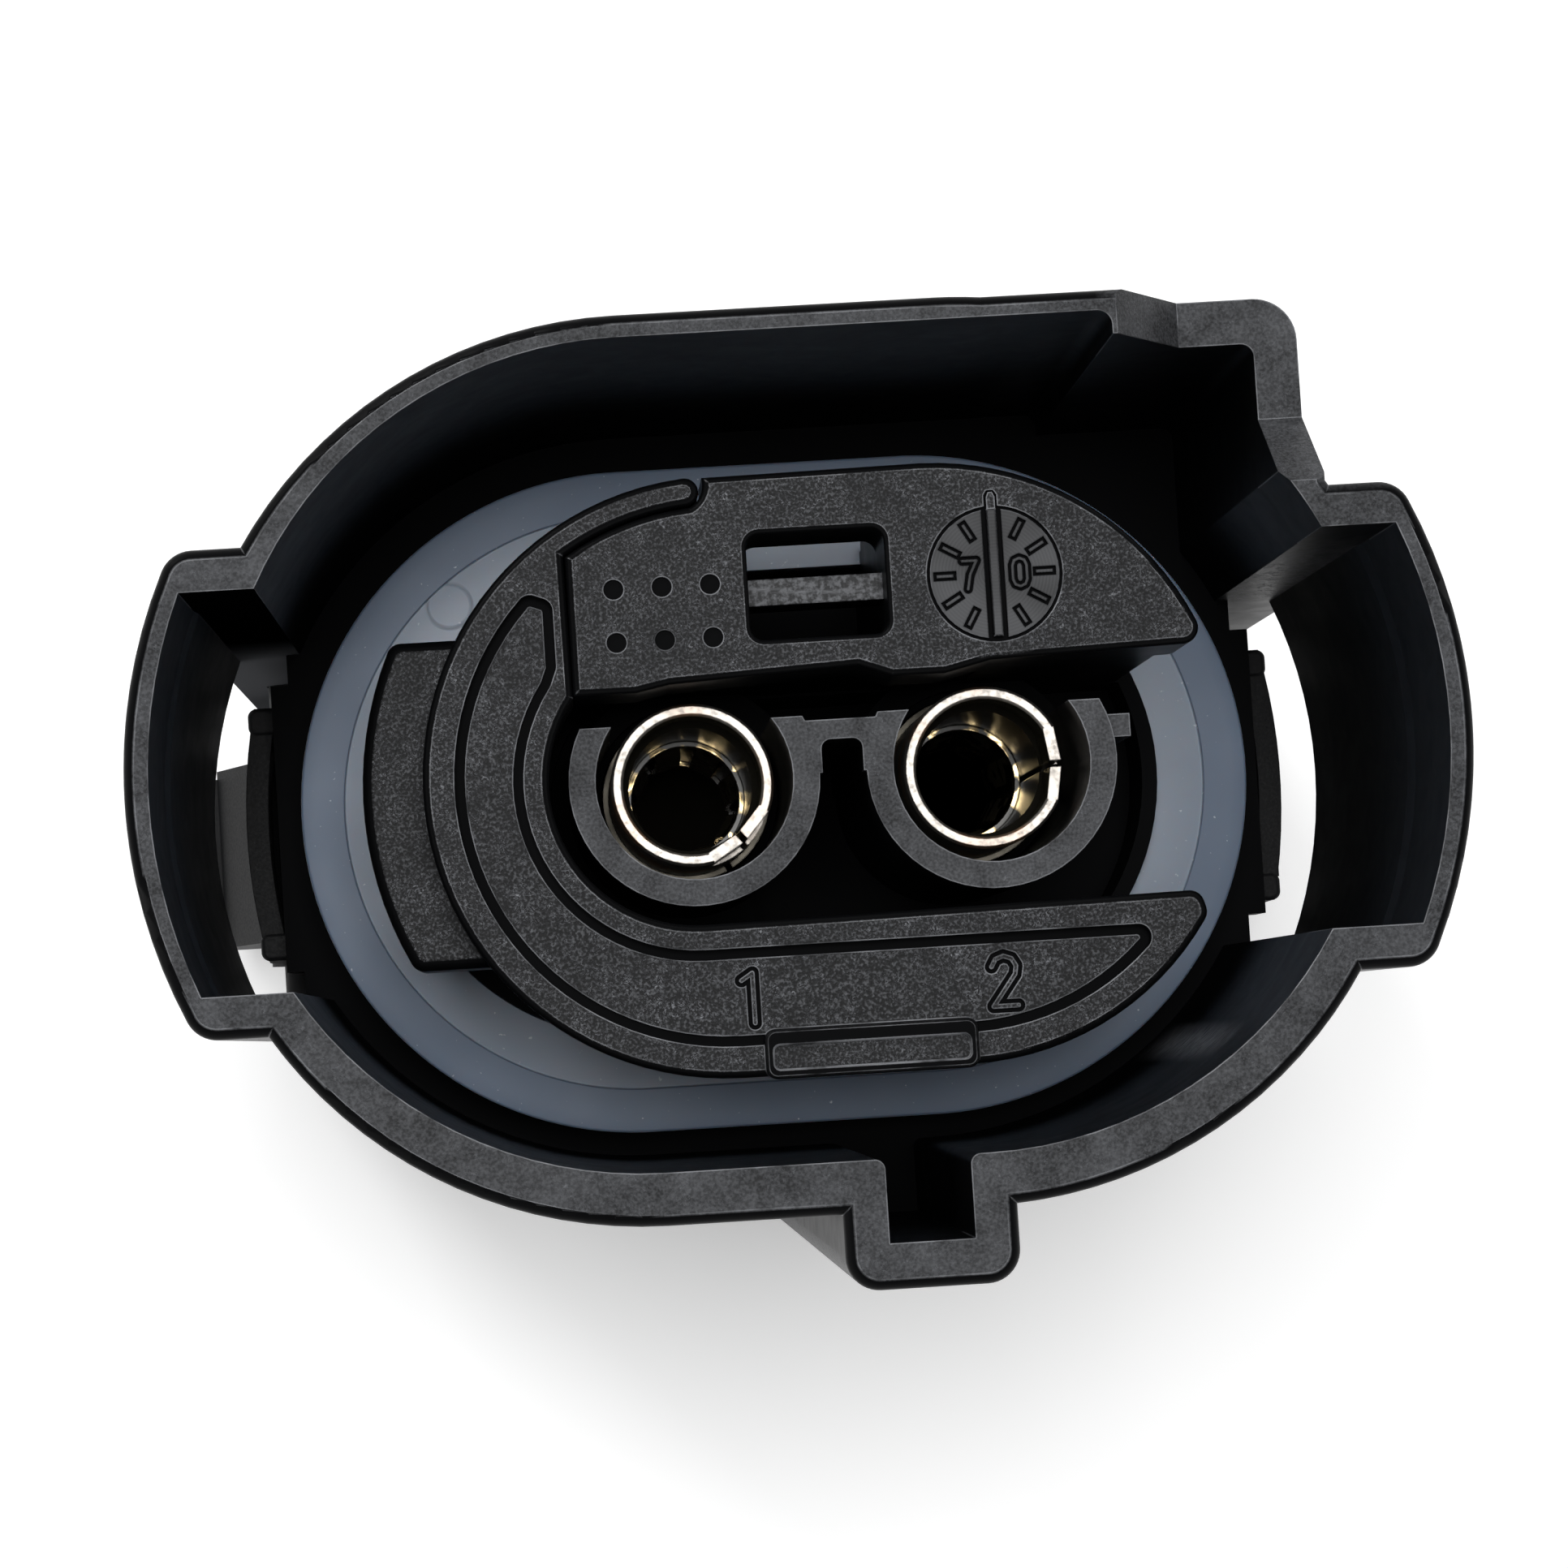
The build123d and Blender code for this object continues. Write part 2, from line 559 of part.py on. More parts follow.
def pull_ledge():
    """Raised ledge with a dished middle on the lock's lower edge."""
    ledge = extrude(RectangleRounded(*LEDGE_SIZE, LEDGE_CORNER), amount=LEDGE_BASE + LEDGE_RISE)
    ledge = round_face(Pos(*LEDGE_CENTRE, FACE - LEDGE_BASE) * ledge, 0.1)
    dish = extrude(RectangleRounded(*DISH_SIZE, DISH_CORNER), amount=1)
    return ledge - Pos(*DISH_CENTRE, FACE + LEDGE_RISE - DISH_DEPTH) * dish


# The fixed retainer plate over the seat
def make_retainer():
    plate = prism(plate_outline(), SEAT_TOP, FACE)
    nose = [e for e in plate.edges().filter_by(Axis.Z) if e.center().X > 12.0]
    plate = round_face(fillet(nose, PLATE_NOSE_ROUND), PLATE_ROUND)
    hole = RectangleRounded(*WINDOW_SIZE, WINDOW_CORNER)
    plate -= Pos(*WINDOW_CENTRE, SEAT_TOP - 1) * extrude(hole, amount=6)
    plate = fillet(plate.faces().sort_by(Axis.Z)[-1].inner_wires()[0].edges(), WINDOW_ROUND)
    reach = WINDOW_SIZE[0] / 2 + 0.1
    bar_x = (WINDOW_CENTRE[0] - reach, WINDOW_CENTRE[0] + reach)
    plate += block(bar_x, WINDOW_BAR_Y, (SEAT_TOP, FACE - WINDOW_BAR_DROP))
    plate -= dial_grooves()
    plate += dial_pointer()
    plate -= blank_marks()
    return plate


def dial_grooves():
    """Rim, outlined ticks, two plain numerals and the pointer's moat."""
    low = FACE - MARK_DEPTH
    rim = drum(*DIAL, DIAL_R + 0.05, low, FACE + 1) - drum(*DIAL, DIAL_R - 0.05, low - 1, FACE + 2)
    cut = rim
    for step in range(12):
        if step % 6 == 0:
            continue
        tick = Pos(0, DIAL_R - 0.5, FACE) * Box(0.28, 0.7, 2 * MARK_DEPTH)
        tick -= Pos(0, DIAL_R - 0.5, FACE) * Box(0.09, 0.5, 4 * MARK_DEPTH)
        cut += Pos(*DIAL, 0) * Rot(0, 0, 30.0 * step) * tick
    cut += outlined(numeral("7", 0.85), (DIAL[0] - 0.74, DIAL[1]), FACE, MARK_DEPTH, 0.28, 0.08)
    cut += outlined(numeral("0", 0.85), (DIAL[0] + 0.76, DIAL[1]), FACE, MARK_DEPTH, 0.28, 0.08)
    half = POINTER_HALF + POINTER_MOAT
    cut += block((DIAL[0] - half, DIAL[0] + half), (DIAL[1] - 2.0, DIAL[1] + 2.0), (low, FACE + 1))
    return cut + pointer_tip(TIP_MOAT, low, FACE + 1)


def pointer_tip(grow, low, high):
    """Narrow end of the pointer, beyond the date insert."""
    half = TIP_HALF + grow
    end = DIAL[1] + TIP_END + grow
    return prism(Polyline((DIAL[0] - half, DIAL[1] + 1.9), (DIAL[0] + half, DIAL[1] + 1.9),
                          (DIAL[0] + half, end - 0.15), (DIAL[0] + half * 0.5, end),
                          (DIAL[0] - half * 0.5, end), (DIAL[0] - half, end - 0.15), close=True), low, high)


def dial_pointer():
    """Raised pointer bar with a narrower tip beyond the date insert."""
    level = (FACE - 0.3, FACE + POINTER_RISE)
    bar = block((DIAL[0] - POINTER_HALF, DIAL[0] + POINTER_HALF), (DIAL[1] - 1.9, DIAL[1] + 1.95), level)
    return round_face(bar, 0.06) + pointer_tip(0.0, FACE - 0.3, FACE + 0.08)


def blank_marks():
    """Plain pips where a marking would be."""
    cut = Part()
    for row in range(2):
        for column in range(3):
            x = PIP_START[0] + PIP_STEP[0] * column
            y = PIP_START[1] + PIP_STEP[1] * row
            cut += drum(x, y, PIP_R, FACE - PIP_DEPTH, FACE + 1)
    return cut


# Soft parts
def make_perimeter_seal():
    flange = SEAL_TOP - SEAL_DROP
    seal = stadium(SEAL_BODY_R, FLOOR_TOP, SEAL_TOP)
    for top in (SEAL_TOP, SEAL_TOP - 1.9):
        lip = stadium(SEAL_R, top - 1.15, top)
        edges = lip.faces().sort_by(Axis.Z)[-1].edges() + lip.faces().sort_by(Axis.Z)[0].edges()
        seal += fillet(edges, 0.4)
    seal -= stadium(SEAL_R - SEAL_STEP, flange, SEAL_TOP + 1)
    inner = [e for e in seal.faces().sort_by(Axis.Z)[-1].inner_wires()[0].edges()]
    seal = fillet(inner, 0.3)
    seal -= stadium(CORE_R + 0.02, FLOOR_TOP - 1, SEAL_TOP + 1)
    seal += block((WELL_X[0] + 0.1, WELL_X[1] - 0.1), (WELL_Y[1] + 0.05, CORE_R + 0.5),
                  (WELL_SHELF + 0.02, flange))
    mark = drum(*EJECTOR, EJECTOR_R, flange - 0.07, SEAL_TOP)
    return seal - (mark - drum(*EJECTOR, EJECTOR_R - 0.12, flange - 1, SEAL_TOP + 1))


def make_wire_seal(x):
    low = EXIT_TOP
    seal = drum(x, TERMINAL_Y, 3.6, low, SEAL_BORE_DEEP)
    for step in range(3):
        z = low + 1.6 + 2.4 * step
        rib = drum(x, TERMINAL_Y, SEAL_BORE_R - 0.03, z - 0.5, z + 0.5)
        seal += fillet(rib.edges().filter_by(GeomType.CIRCLE), 0.35)
    return seal - drum(x, TERMINAL_Y, 1.9, low - 1, SEAL_BORE_DEEP + 1)


# Latch levers
def make_lever(side):
    """Squeeze lever: catch bar in front, trunnions, finger pad behind."""
    frame = lever_slice(FRAME_SIDE, LEVER_HALF)
    frame -= block((16, 19), (-FRAME_HOLE_HALF, FRAME_HOLE_HALF), FRAME_HOLE_Z)
    pad = lever_slice(PAD_SIDE, PAD_HALF)
    for step in range(4):
        z = GRIP_LOW + GRIP_STEP * step
        pad += block(GRIP_X, (-PAD_HALF + 0.3, PAD_HALF - 0.3), (z, z + GRIP_STEP / 2))
    centre = BAR_OUT - BAR_BOW
    bar = drum(centre, 0, BAR_BOW, *BAR_Z) - drum(centre, 0, BAR_BOW - BAR_THICK, 0, LENGTH)
    bar &= block((10, 25), (-LEVER_HALF, LEVER_HALF), (0, LENGTH))
    beads = Part()
    for reach in (BEAD_Y, (-BEAD_Y[1], -BEAD_Y[0])):
        bead = block(BEAD_X, reach, (BAR_Z[0] - 0.4, BAR_Z[1] + 0.06))
        bead = fillet(bead.edges().filter_by(Axis.Z), 0.3)
        beads += fillet(bead.faces().sort_by(Axis.Z)[-1].edges(), 0.15)
    trunnion = Pos(PIVOT_X, 0, PIVOT_Z) * Rot(90, 0, 0)
    boss = trunnion * Cylinder(BOSS_R, 2 * LEVER_HALF)
    pin = trunnion * Cylinder(PIN_R, 2 * GUARD_HALF - 0.6)
    lever = frame + pad + bar + beads + boss + pin
    return lever if side > 0 else mirror(lever, Plane.YZ)


def lever_slice(points, half):
    """Plate of a lever with a side outline in the XZ plane."""
    face = make_face(Polyline(*points, close=True))
    return Pos(0, half, 0) * extrude(Plane.XZ * face, amount=2 * half)


# Terminals
def seam_cut(x, angle, outer, low, high):
    """Narrow slit where rolled sheet meets."""
    slit = Pos(outer, 0, (low + high) / 2) * Box(2 * outer, SEAM_WIDTH, high - low)
    return Pos(x, TERMINAL_Y, 0) * Rot(0, 0, angle) * slit


def make_barrel(x, angle):
    """Rolled socket with a wider mouth, ends that bend in at the seam, and an open crimp."""
    place = (x, TERMINAL_Y)
    mouth_r = BARREL_R - SHEET
    tube = drum(*place, BARREL_R, BARREL_REAR, BARREL_TOP)
    tube -= drum(*place, mouth_r, BARREL_TOP - BARREL_MOUTH, BARREL_TOP + 1)
    tube -= drum(*place, BARREL_BORE, BARREL_REAR + BARREL_FLOOR, BARREL_TOP)
    ring = tube.faces().sort_by(Axis.Z)[-1]
    tube = chamfer(ring.edges(), 0.08)
    low = BARREL_TOP - BARREL_MOUTH
    near, far = around(place, 4, angle - SEAM_BEND), around(place, 4, angle + SEAM_BEND)
    tube -= prism(Polyline(place, near, far, close=True), low, BARREL_TOP + 1)
    for side in (1, -1):
        tube += seam_end(place, angle, side * SEAM_BEND, low - 0.2)
    tube -= seam_cut(x, angle, BARREL_R, BARREL_REAR + 1, BARREL_TOP + 1)
    crimp = drum(*place, BARREL_R - 0.2, SEAL_BORE_DEEP, BARREL_REAR + 0.3)
    crimp -= drum(*place, BARREL_BORE, SEAL_BORE_DEEP - 1, BARREL_REAR - 0.2)
    crimp -= block((x - 3, x + 3), (TERMINAL_Y + 0.9, 4), (SEAL_BORE_DEEP - 1, BARREL_REAR - 1.0))
    crimp -= block((x - 3, x + 3), (TERMINAL_Y - 0.4, 4), (15.8, BARREL_REAR))
    return tube + crimp


def seam_end(place, angle, bend, low):
    """Straight end of the rolled sheet, from the ring to the seam."""
    middle = BARREL_R - SHEET / 2
    ax, ay = around(place, middle, angle + bend * 1.03)
    bx, by = around(place, middle - SEAM_DIP, angle)
    turn = math.degrees(math.atan2(by - ay, bx - ax))
    length = math.hypot(bx - ax, by - ay)
    plate = Pos(0, 0, (low + BARREL_TOP) / 2) * Box(length, SHEET - 0.04, BARREL_TOP - low)
    return Pos((ax + bx) / 2, (ay + by) / 2, 0) * Rot(0, 0, turn) * plate


def make_sleeve(x, angle):
    sleeve = drum(x, TERMINAL_Y, BARREL_R + SLEEVE_WALL, *SLEEVE_Z)
    sleeve -= drum(x, TERMINAL_Y, BARREL_R + 0.01, SLEEVE_Z[0] - 1, SLEEVE_Z[1] + 1)
    return sleeve - seam_cut(x, angle - 12.0, BARREL_R + 1, SLEEVE_Z[0] - 1, SLEEVE_Z[1] + 1)


def make_cage(x):
    outer = BARREL_BORE - 0.01
    wall = CAGE_WALL
    cage = Part()
    for low, high in ((CAGE_Z[0], CAGE_Z[0] + 1.0), (CAGE_Z[1] - 0.8, CAGE_Z[1])):
        ring = drum(0, 0, outer, low, high) - drum(0, 0, outer - wall, low - 1, high + 1)
        cage += ring
    low, high = CAGE_Z[0] + 0.9, CAGE_Z[1] - 0.7
    middle = (low + high) / 2
    inner = outer - wall
    profile = make_face([ThreePointArc((outer, low), (outer - BEAM_BOW, middle), (outer, high)),
                         Line((outer, high), (inner, high)),
                         ThreePointArc((inner, high), (inner - BEAM_BOW, middle), (inner, low)),
                         Line((inner, low), (outer, low))])
    beam = Pos(0, BEAM_WIDTH / 2, 0) * extrude(Plane.XZ * profile, amount=BEAM_WIDTH)
    for step in range(BEAMS):
        cage += Rot(0, 0, 360.0 * step / BEAMS + BEAM_TURN) * beam
    return Pos(x, TERMINAL_Y, 0) * (cage & drum(0, 0, outer, 0, LENGTH))


# Rear cap
def make_rear_cap():
    cap = stadium(CAP_R, CAP_REAR, CAP_REAR + CAP_PLATE)
    rear = cap.faces().sort_by(Axis.Z)[0]
    cap = chamfer(rear.edges(), 0.5)
    wall = stadium(CAP_R, BODY_REAR, CAP_TOP) - stadium(BODY_R + 0.06, BODY_REAR, CAP_TOP + 1)
    reach = POCKET_WALL[0] - 0.15
    cap += wall
    for side in (1, -1):
        cap -= block((-2.6, 2.6), tuple(sorted((side * (BODY_R - 0.5), side * 12))), (4.4, 6.5))
    cap &= block((-reach, reach), (-20, 20), (0, LENGTH))
    for x in TERMINAL_X:
        boss = drum(x, TERMINAL_Y, SEAL_BORE_R - 0.06, BODY_REAR - 0.5, EXIT_TOP)
        cap += boss
        cap -= drum(x, TERMINAL_Y, EXIT_R, 0, EXIT_TOP + 1)
    return cap


# Write one file per piece
def main():
    pieces = {
        "connector_housing": make_housing(),
        "seal_retainer": make_retainer(),
        "terminal_lock": make_lock(),
        "perimeter_seal": make_perimeter_seal(),
        "latch_lever_left": make_lever(-1),
        "latch_lever_right": make_lever(1),
        "rear_cap": make_rear_cap(),
    }
    for number, x, angle in zip((1, 2), TERMINAL_X, SEAM_ANGLES):
        pieces[f"socket_barrel_{number}"] = make_barrel(x, angle)
        pieces[f"contact_sleeve_{number}"] = make_sleeve(x, angle)
        pieces[f"spring_cage_{number}"] = make_cage(x)
        pieces[f"wire_seal_{number}"] = make_wire_seal(x)
    os.makedirs("parts", exist_ok=True)
    for name, solid in pieces.items():
        export_step(solid, f"parts/{name}.step")


main()
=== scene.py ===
"""Looks of a sealed two-way wire connector: plastics, silicone seals, plated sockets and a plain studio."""

import math
from functools import cached_property

import bmesh
import bpy
from mathutils import Matrix, Vector


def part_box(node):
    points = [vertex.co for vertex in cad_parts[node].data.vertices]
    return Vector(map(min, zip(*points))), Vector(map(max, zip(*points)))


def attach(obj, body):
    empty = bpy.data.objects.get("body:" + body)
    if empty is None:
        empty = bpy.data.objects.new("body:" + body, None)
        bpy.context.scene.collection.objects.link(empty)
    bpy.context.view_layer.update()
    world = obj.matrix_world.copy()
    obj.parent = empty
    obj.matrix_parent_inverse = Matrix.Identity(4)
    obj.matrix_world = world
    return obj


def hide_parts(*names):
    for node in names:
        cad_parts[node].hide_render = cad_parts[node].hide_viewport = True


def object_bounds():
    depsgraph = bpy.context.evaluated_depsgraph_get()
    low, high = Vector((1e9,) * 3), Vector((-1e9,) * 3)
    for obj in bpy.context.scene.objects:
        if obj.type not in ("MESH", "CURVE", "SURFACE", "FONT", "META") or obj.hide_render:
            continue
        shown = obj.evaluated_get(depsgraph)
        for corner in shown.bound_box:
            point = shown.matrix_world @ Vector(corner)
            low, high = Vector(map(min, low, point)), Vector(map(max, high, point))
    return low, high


bl_info = {
    "name": "Wire Connector Looks",
    "version": (1, 0, 0),
    "blender": (4, 5, 0),
    "location": "View3D > Sidebar > Connector",
    "description": "Finishes, studio and camera for a sealed two-way wire connector",
    "category": "Object",
}

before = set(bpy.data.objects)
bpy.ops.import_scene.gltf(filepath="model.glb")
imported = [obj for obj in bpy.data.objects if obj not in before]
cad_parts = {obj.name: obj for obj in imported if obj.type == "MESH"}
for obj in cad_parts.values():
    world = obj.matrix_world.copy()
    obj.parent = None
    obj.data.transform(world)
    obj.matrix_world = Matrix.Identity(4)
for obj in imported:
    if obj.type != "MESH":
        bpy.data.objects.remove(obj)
CAD_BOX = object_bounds()
RIM = CAD_BOX[1].z
MM = 0.001
WHITE = (1.0, 1.0, 1.0)
DIAL_CENTRE = (6.26 * MM, 5.37 * MM, 0.0)
DIAL_RADIUS = 1.95 * MM
EJECTOR_CENTRE = (-10.45 * MM, 6.85 * MM, 0.0)
EJECTOR_RADIUS = 0.74 * MM
OVAL_HALF = 4.75 * MM

# Heights at which the front faces lie
HOUSING_FACES = 38.3 * MM
LOCK_FACES = 39.46 * MM
LOCK_LEVELS = [(39.46, 39.94), (36.9, 37.1)]
RETAINER_FACES = 39.76 * MM
RETAINER_LEVELS = [(39.76, 41.0)]
BAR_LEVEL = (38.4 * MM, 38.6 * MM)

# Engraved marks on those faces: X, Y and radius in millimetres
NUMERALS = [(-1.75, -6.9, 1.15), (5.8, -6.85, 1.25)]
DIAL_MARKS = [(6.26, 5.37, 2.6)]

# Stripes of fine scratches on the mouth's wall, painted pale as highlights: X, Y and reach in millimetres,
# and strength
SCRATCHED_HIGHLIGHT_STRIPES = [(12.6, -9.2, 1.0, 0.9), (8.6, 11.9, 1.3, 0.12)]

# Mesh of the seals
DISC_CORNERS = 144
SIDE_CUTS = 30
EDGE_SEGMENTS = 5
SMOOTH_ANGLE = math.radians(40)

# Perimeter seal
FACE_LIP_LENGTH = 1.15 * MM
FACE_LIP_STEP = 1.9 * MM
FACE_LIP_SOFTNESS = 0.08 * MM
GROOVE = 0.14 * MM
TONGUE_DEPTH = 0.8 * MM
TONGUE_REACH = 0.42 * MM
TONGUE_SIDES = (-0.9 * MM, 3.4 * MM)

# Wire seals
WIRE_SEAL_BODY = 3.6 * MM
WIRE_SEAL_BORE = 1.9 * MM
WIRE_RIB_START = 1.1 * MM
WIRE_RIB_LENGTH = 1.0 * MM
WIRE_RIB_STEP = 2.4 * MM
WIRE_RIB_COUNT = 3
WIRE_RIB_SOFTNESS = 0.3 * MM

# Floor, and lamps with their place and size in metres and their share of the main lamp's power
FLOOR_SIZE = 4.0
FLOOR_GAP = 0.02 * MM
FLOOR_FADE = (0.1, 0.3)
LAMPS = [
    ("key_lamp", (-0.02, 0.12, 0.84), 0.34, 1.0),
    ("edge_lamp", (-0.35, 0.5, 0.42), 0.2, 0.3),
    ("side_lamp", (0.5, -0.35, 0.45), 0.15, 0.03),
]
SENSOR_WIDTH = 36.0
NEAREST_SEEN = 0.005


# Sizes and colours that a user would change
def colour_setting(name, description, value):
    """Colour property with its name, description and default."""
    return bpy.props.FloatVectorProperty(
        name=name, description=description, subtype="COLOR", size=3, min=0.0, max=1.0, default=value
    )


def share_setting(name, description, value):
    """Property from none to all."""
    return bpy.props.FloatProperty(name=name, description=description, min=0.0, max=1.0, default=value)


def length_setting(name, description, value):
    """Length property in metres."""
    return bpy.props.FloatProperty(
        name=name, description=description, subtype="DISTANCE", unit="LENGTH", min=0.0, default=value,
        precision=6
    )


class PlasticSettings(bpy.types.PropertyGroup):
    """Colours and grain of the moulded plastics."""

    smooth: colour_setting("Smooth", "Colour of the polished walls", (0.0022, 0.0023, 0.0026))
    pit: colour_setting("Pit", "Darkest colour between the grains", (0.003, 0.0031, 0.0034))
    peak: colour_setting("Peak", "Colour of the grains that stand out", (0.34, 0.35, 0.375))
    outside: colour_setting("Outside", "Colour of the satin outer walls", (0.016, 0.0165, 0.018))
    cap: colour_setting("Cap", "Colour of the rear cap", (0.014, 0.0145, 0.016))
    edge: length_setting("Edge radius", "Softness of small moulded edges", 0.06 * MM)
    border: length_setting("Border", "Reach of the polished border round a grained face", 0.1 * MM)
    grain: length_setting("Grain", "Size of the moulded grain", 0.062 * MM)


class SealSettings(bpy.types.PropertyGroup):
    """Colours of the silicone."""

    lip: colour_setting("Lip", "Colour of the sealing lips", (0.092, 0.125, 0.182))
    flange: colour_setting("Flange", "Colour of the flat inner flange", (0.25, 0.285, 0.34))
    dust: colour_setting("Dust", "Colour of the specks on the silicone", (0.6, 0.63, 0.66))
    straight: length_setting("Straight", "Half length of the seal's straight sides", OVAL_HALF)
    body: length_setting("Body", "Radius of the seal between its lips", 10.5 * MM)
    lip_rise: length_setting("Lip rise", "How far the lips stand out", 0.5 * MM)
    lip_width: length_setting("Lip width", "Width of the raised front lip", 1.42 * MM)
    bore: length_setting("Bore", "Radius of the opening for the core", 7.87 * MM)
    drop: length_setting("Drop", "How far the flange lies below the lip", 0.08 * MM)


class MetalSettings(bpy.types.PropertyGroup):
    """Colours of the contacts."""

    plating: colour_setting("Plating", "Colour of the sockets' bright ends", (0.3, 0.28, 0.255))
    # Bore is a dark colour painted on the sockets' insides as shade.
    bore: colour_setting("Bore", "Colour of the sockets' oiled insides", (0.024, 0.021, 0.013))
    copper: colour_setting("Copper", "Colour at the cut edges", (0.34, 0.19, 0.1))
    # The sleeve colour is darkened as painted shade.
    sleeve: colour_setting("Sleeve", "Colour of the outer sleeves", (0.06, 0.055, 0.045))
    cage: colour_setting("Cage", "Colour of the contact springs", (0.5, 0.38, 0.2))
    edge: length_setting("Edge radius", "Softness of the sheet's edges", 0.05 * MM)


class StudioSettings(bpy.types.PropertyGroup):
    """Camera, floor and lamps."""

    picture: bpy.props.FloatProperty(name="Picture", description="Picture width in pixels", default=1932.0)
    focal: bpy.props.FloatProperty(name="Focal", description="Focal length in pixels", default=4620.0)
    distance: length_setting("Distance", "Camera to the middle of the rim", 110.0 * MM)
    roll: bpy.props.FloatProperty(
        name="Roll", description="Turn of the picture", subtype="ANGLE", default=math.radians(3.55)
    )
    vanishing: bpy.props.FloatVectorProperty(
        name="Vanishing point", description="Pixel that the mating axis runs to", size=2,
        default=(705.0, 1290.0)
    )
    centre: bpy.props.FloatVectorProperty(
        name="Rim centre", description="Pixel of the middle of the rim", size=2, default=(989.0, 934.5)
    )
    aim: bpy.props.FloatVectorProperty(
        name="Aim", description="Pixel that the lens points at", size=2, default=(836.0, 1128.0)
    )
    floor: colour_setting("Floor", "Colour of the floor and backdrop", (0.95, 0.95, 0.95))
    glow: share_setting("Glow", "Light that the floor adds for the camera alone", 0.3)
    key: bpy.props.FloatProperty(name="Key", description="Power of the main lamp in watts", default=4.9)
    fill: share_setting("Fill", "Strength of the world's light", 0.17)


# Shader maths
class Value:
    """A shader socket that Python's arithmetic works on."""

    def __init__(self, finish, socket):
        self.finish = finish
        self.socket = socket

    def __add__(self, other):
        return self.finish.math("ADD", self, other)

    def __radd__(self, other):
        return self.finish.math("ADD", other, self)

    def __sub__(self, other):
        return self.finish.math("SUBTRACT", self, other)

    def __rsub__(self, other):
        return self.finish.math("SUBTRACT", other, self)

    def __mul__(self, other):
        return self.finish.math("MULTIPLY", self, other)

    def __rmul__(self, other):
        return self.finish.math("MULTIPLY", other, self)


class Finish:
    """One material or world, built node by node as layers of shaders."""

    def __init__(self, material, end="ShaderNodeOutputMaterial"):
        self.material = material
        self.material.use_nodes = True
        self.tree = self.material.node_tree
        self.tree.nodes.clear()
        self.output = self.add(end)
        self.surface = None

    @cached_property
    def place(self):
        """Place on the object."""
        return self.node("ShaderNodeTexCoord", output="Object")

    def add(self, kind, settings=None, inputs=None):
        """Adds a node, with its settings first and then the values or links of its sockets."""
        made = self.tree.nodes.new(kind)
        for name, value in (settings or {}).items():
            if name == "stops":
                self.set_stops(made.color_ramp, value)
            else:
                setattr(made, name, value)
        for key, value in (inputs or {}).items():
            self.feed(made.inputs[key], value)
        return made

    def node(self, kind, settings=None, inputs=None, output=0):
        """Adds a node and gives one of its outputs."""
        return Value(self, self.add(kind, settings, inputs).outputs[output])

    def feed(self, socket, value):
        """Links or sets one socket."""
        if isinstance(value, Value):
            self.tree.links.new(value.socket, socket)
        elif isinstance(value, (int, float)):
            socket.default_value = value
        else:
            wide = len(socket.default_value)
            socket.default_value = (*value, 1.0)[:wide] if wide == 4 else tuple(value)[:wide]

    @staticmethod
    def set_stops(ramp, stops):
        """Grey stops of a ramp, from (place, level) pairs."""
        while len(ramp.elements) > 1:
            ramp.elements.remove(ramp.elements[-1])
        for index, (place, level) in enumerate(stops):
            element = ramp.elements[0] if index == 0 else ramp.elements.new(place)
            element.position = place
            element.color = (level, level, level, 1.0)

    def noise(self, size, detail=2.0, roughness=0.5, distortion=0.0):
        """Noise whose lumps are about one size, in metres."""
        return self.node(
            "ShaderNodeTexNoise", None,
            {"Vector": self.place, "Scale": 0.6 / size, "Detail": detail, "Roughness": roughness,
             "Distortion": distortion},
        )

    def ramp(self, value, *stops):
        """Grey ramp over a value."""
        return self.node("ShaderNodeValToRGB", {"stops": stops}, {0: value})

    def along(self, axis):
        """Place along X, Y or Z, in metres."""
        return self.node("ShaderNodeSeparateXYZ", None, {0: self.place}, "XYZ".index(axis))

    def span(self, value, low, high):
        """Goes from 0 at low to 1 at high, and stays there."""
        return self.node(
            "ShaderNodeMapRange", {"clamp": True},
            {"Value": value, "From Min": low, "From Max": high},
        )

    def band(self, value, low, high, soft):
        """1 between two values, with soft ends outside them."""
        return self.span(value, low - soft, low) * (1 - self.span(value, high, high + soft))

    def facing(self, axis):
        """How far a surface looks along X, Y or Z of its own object, from -1 to 1."""
        normal = self.node("ShaderNodeTexCoord", output="Normal")
        return self.node("ShaderNodeSeparateXYZ", None, {0: normal}, "XYZ".index(axis))

    def looking_up(self):
        """Share of a surface that looks straight up."""
        return self.span(self.facing("Z"), 0.8, 0.97)

    def math(self, operation, first, second):
        """Adds one Math node."""
        return self.node("ShaderNodeMath", {"operation": operation}, {0: first, 1: second})

    def vector(self, operation, first, second, output="Vector"):
        """Adds one Vector Math node."""
        return self.node("ShaderNodeVectorMath", {"operation": operation}, {0: first, 1: second}, output)

    def absolute(self, value):
        """Value without its sign."""
        return self.math("ABSOLUTE", value, 0.0)

    def mix(self, factor, first, second):
        """Colour between two colours."""
        return self.node("ShaderNodeMix", {"data_type": "RGBA"}, {0: factor, 6: first, 7: second}, 2)

    def soft_edges(self, radius):
        """Normal that rounds every edge by a small radius."""
        return self.node("ShaderNodeBevel", {"samples": 6}, {"Radius": radius}, "Normal")

    def bump(self, height, distance, strength, normal):
        """Normal raised by a height."""
        return self.node(
            "ShaderNodeBump", None,
            {"Height": height, "Distance": distance, "Strength": strength, "Normal": normal}, "Normal",
        )

    def layer(self, share=None, **sockets):
        """Lays a principled shader over the ones before it, where share is 1."""
        named = {socket.replace("_", " "): value for socket, value in sockets.items()}
        top = self.node("ShaderNodeBsdfPrincipled", None, named)
        if self.surface is not None:
            top = self.node("ShaderNodeMixShader", None, {0: share, 1: self.surface, 2: top})
        return self.cover(top)

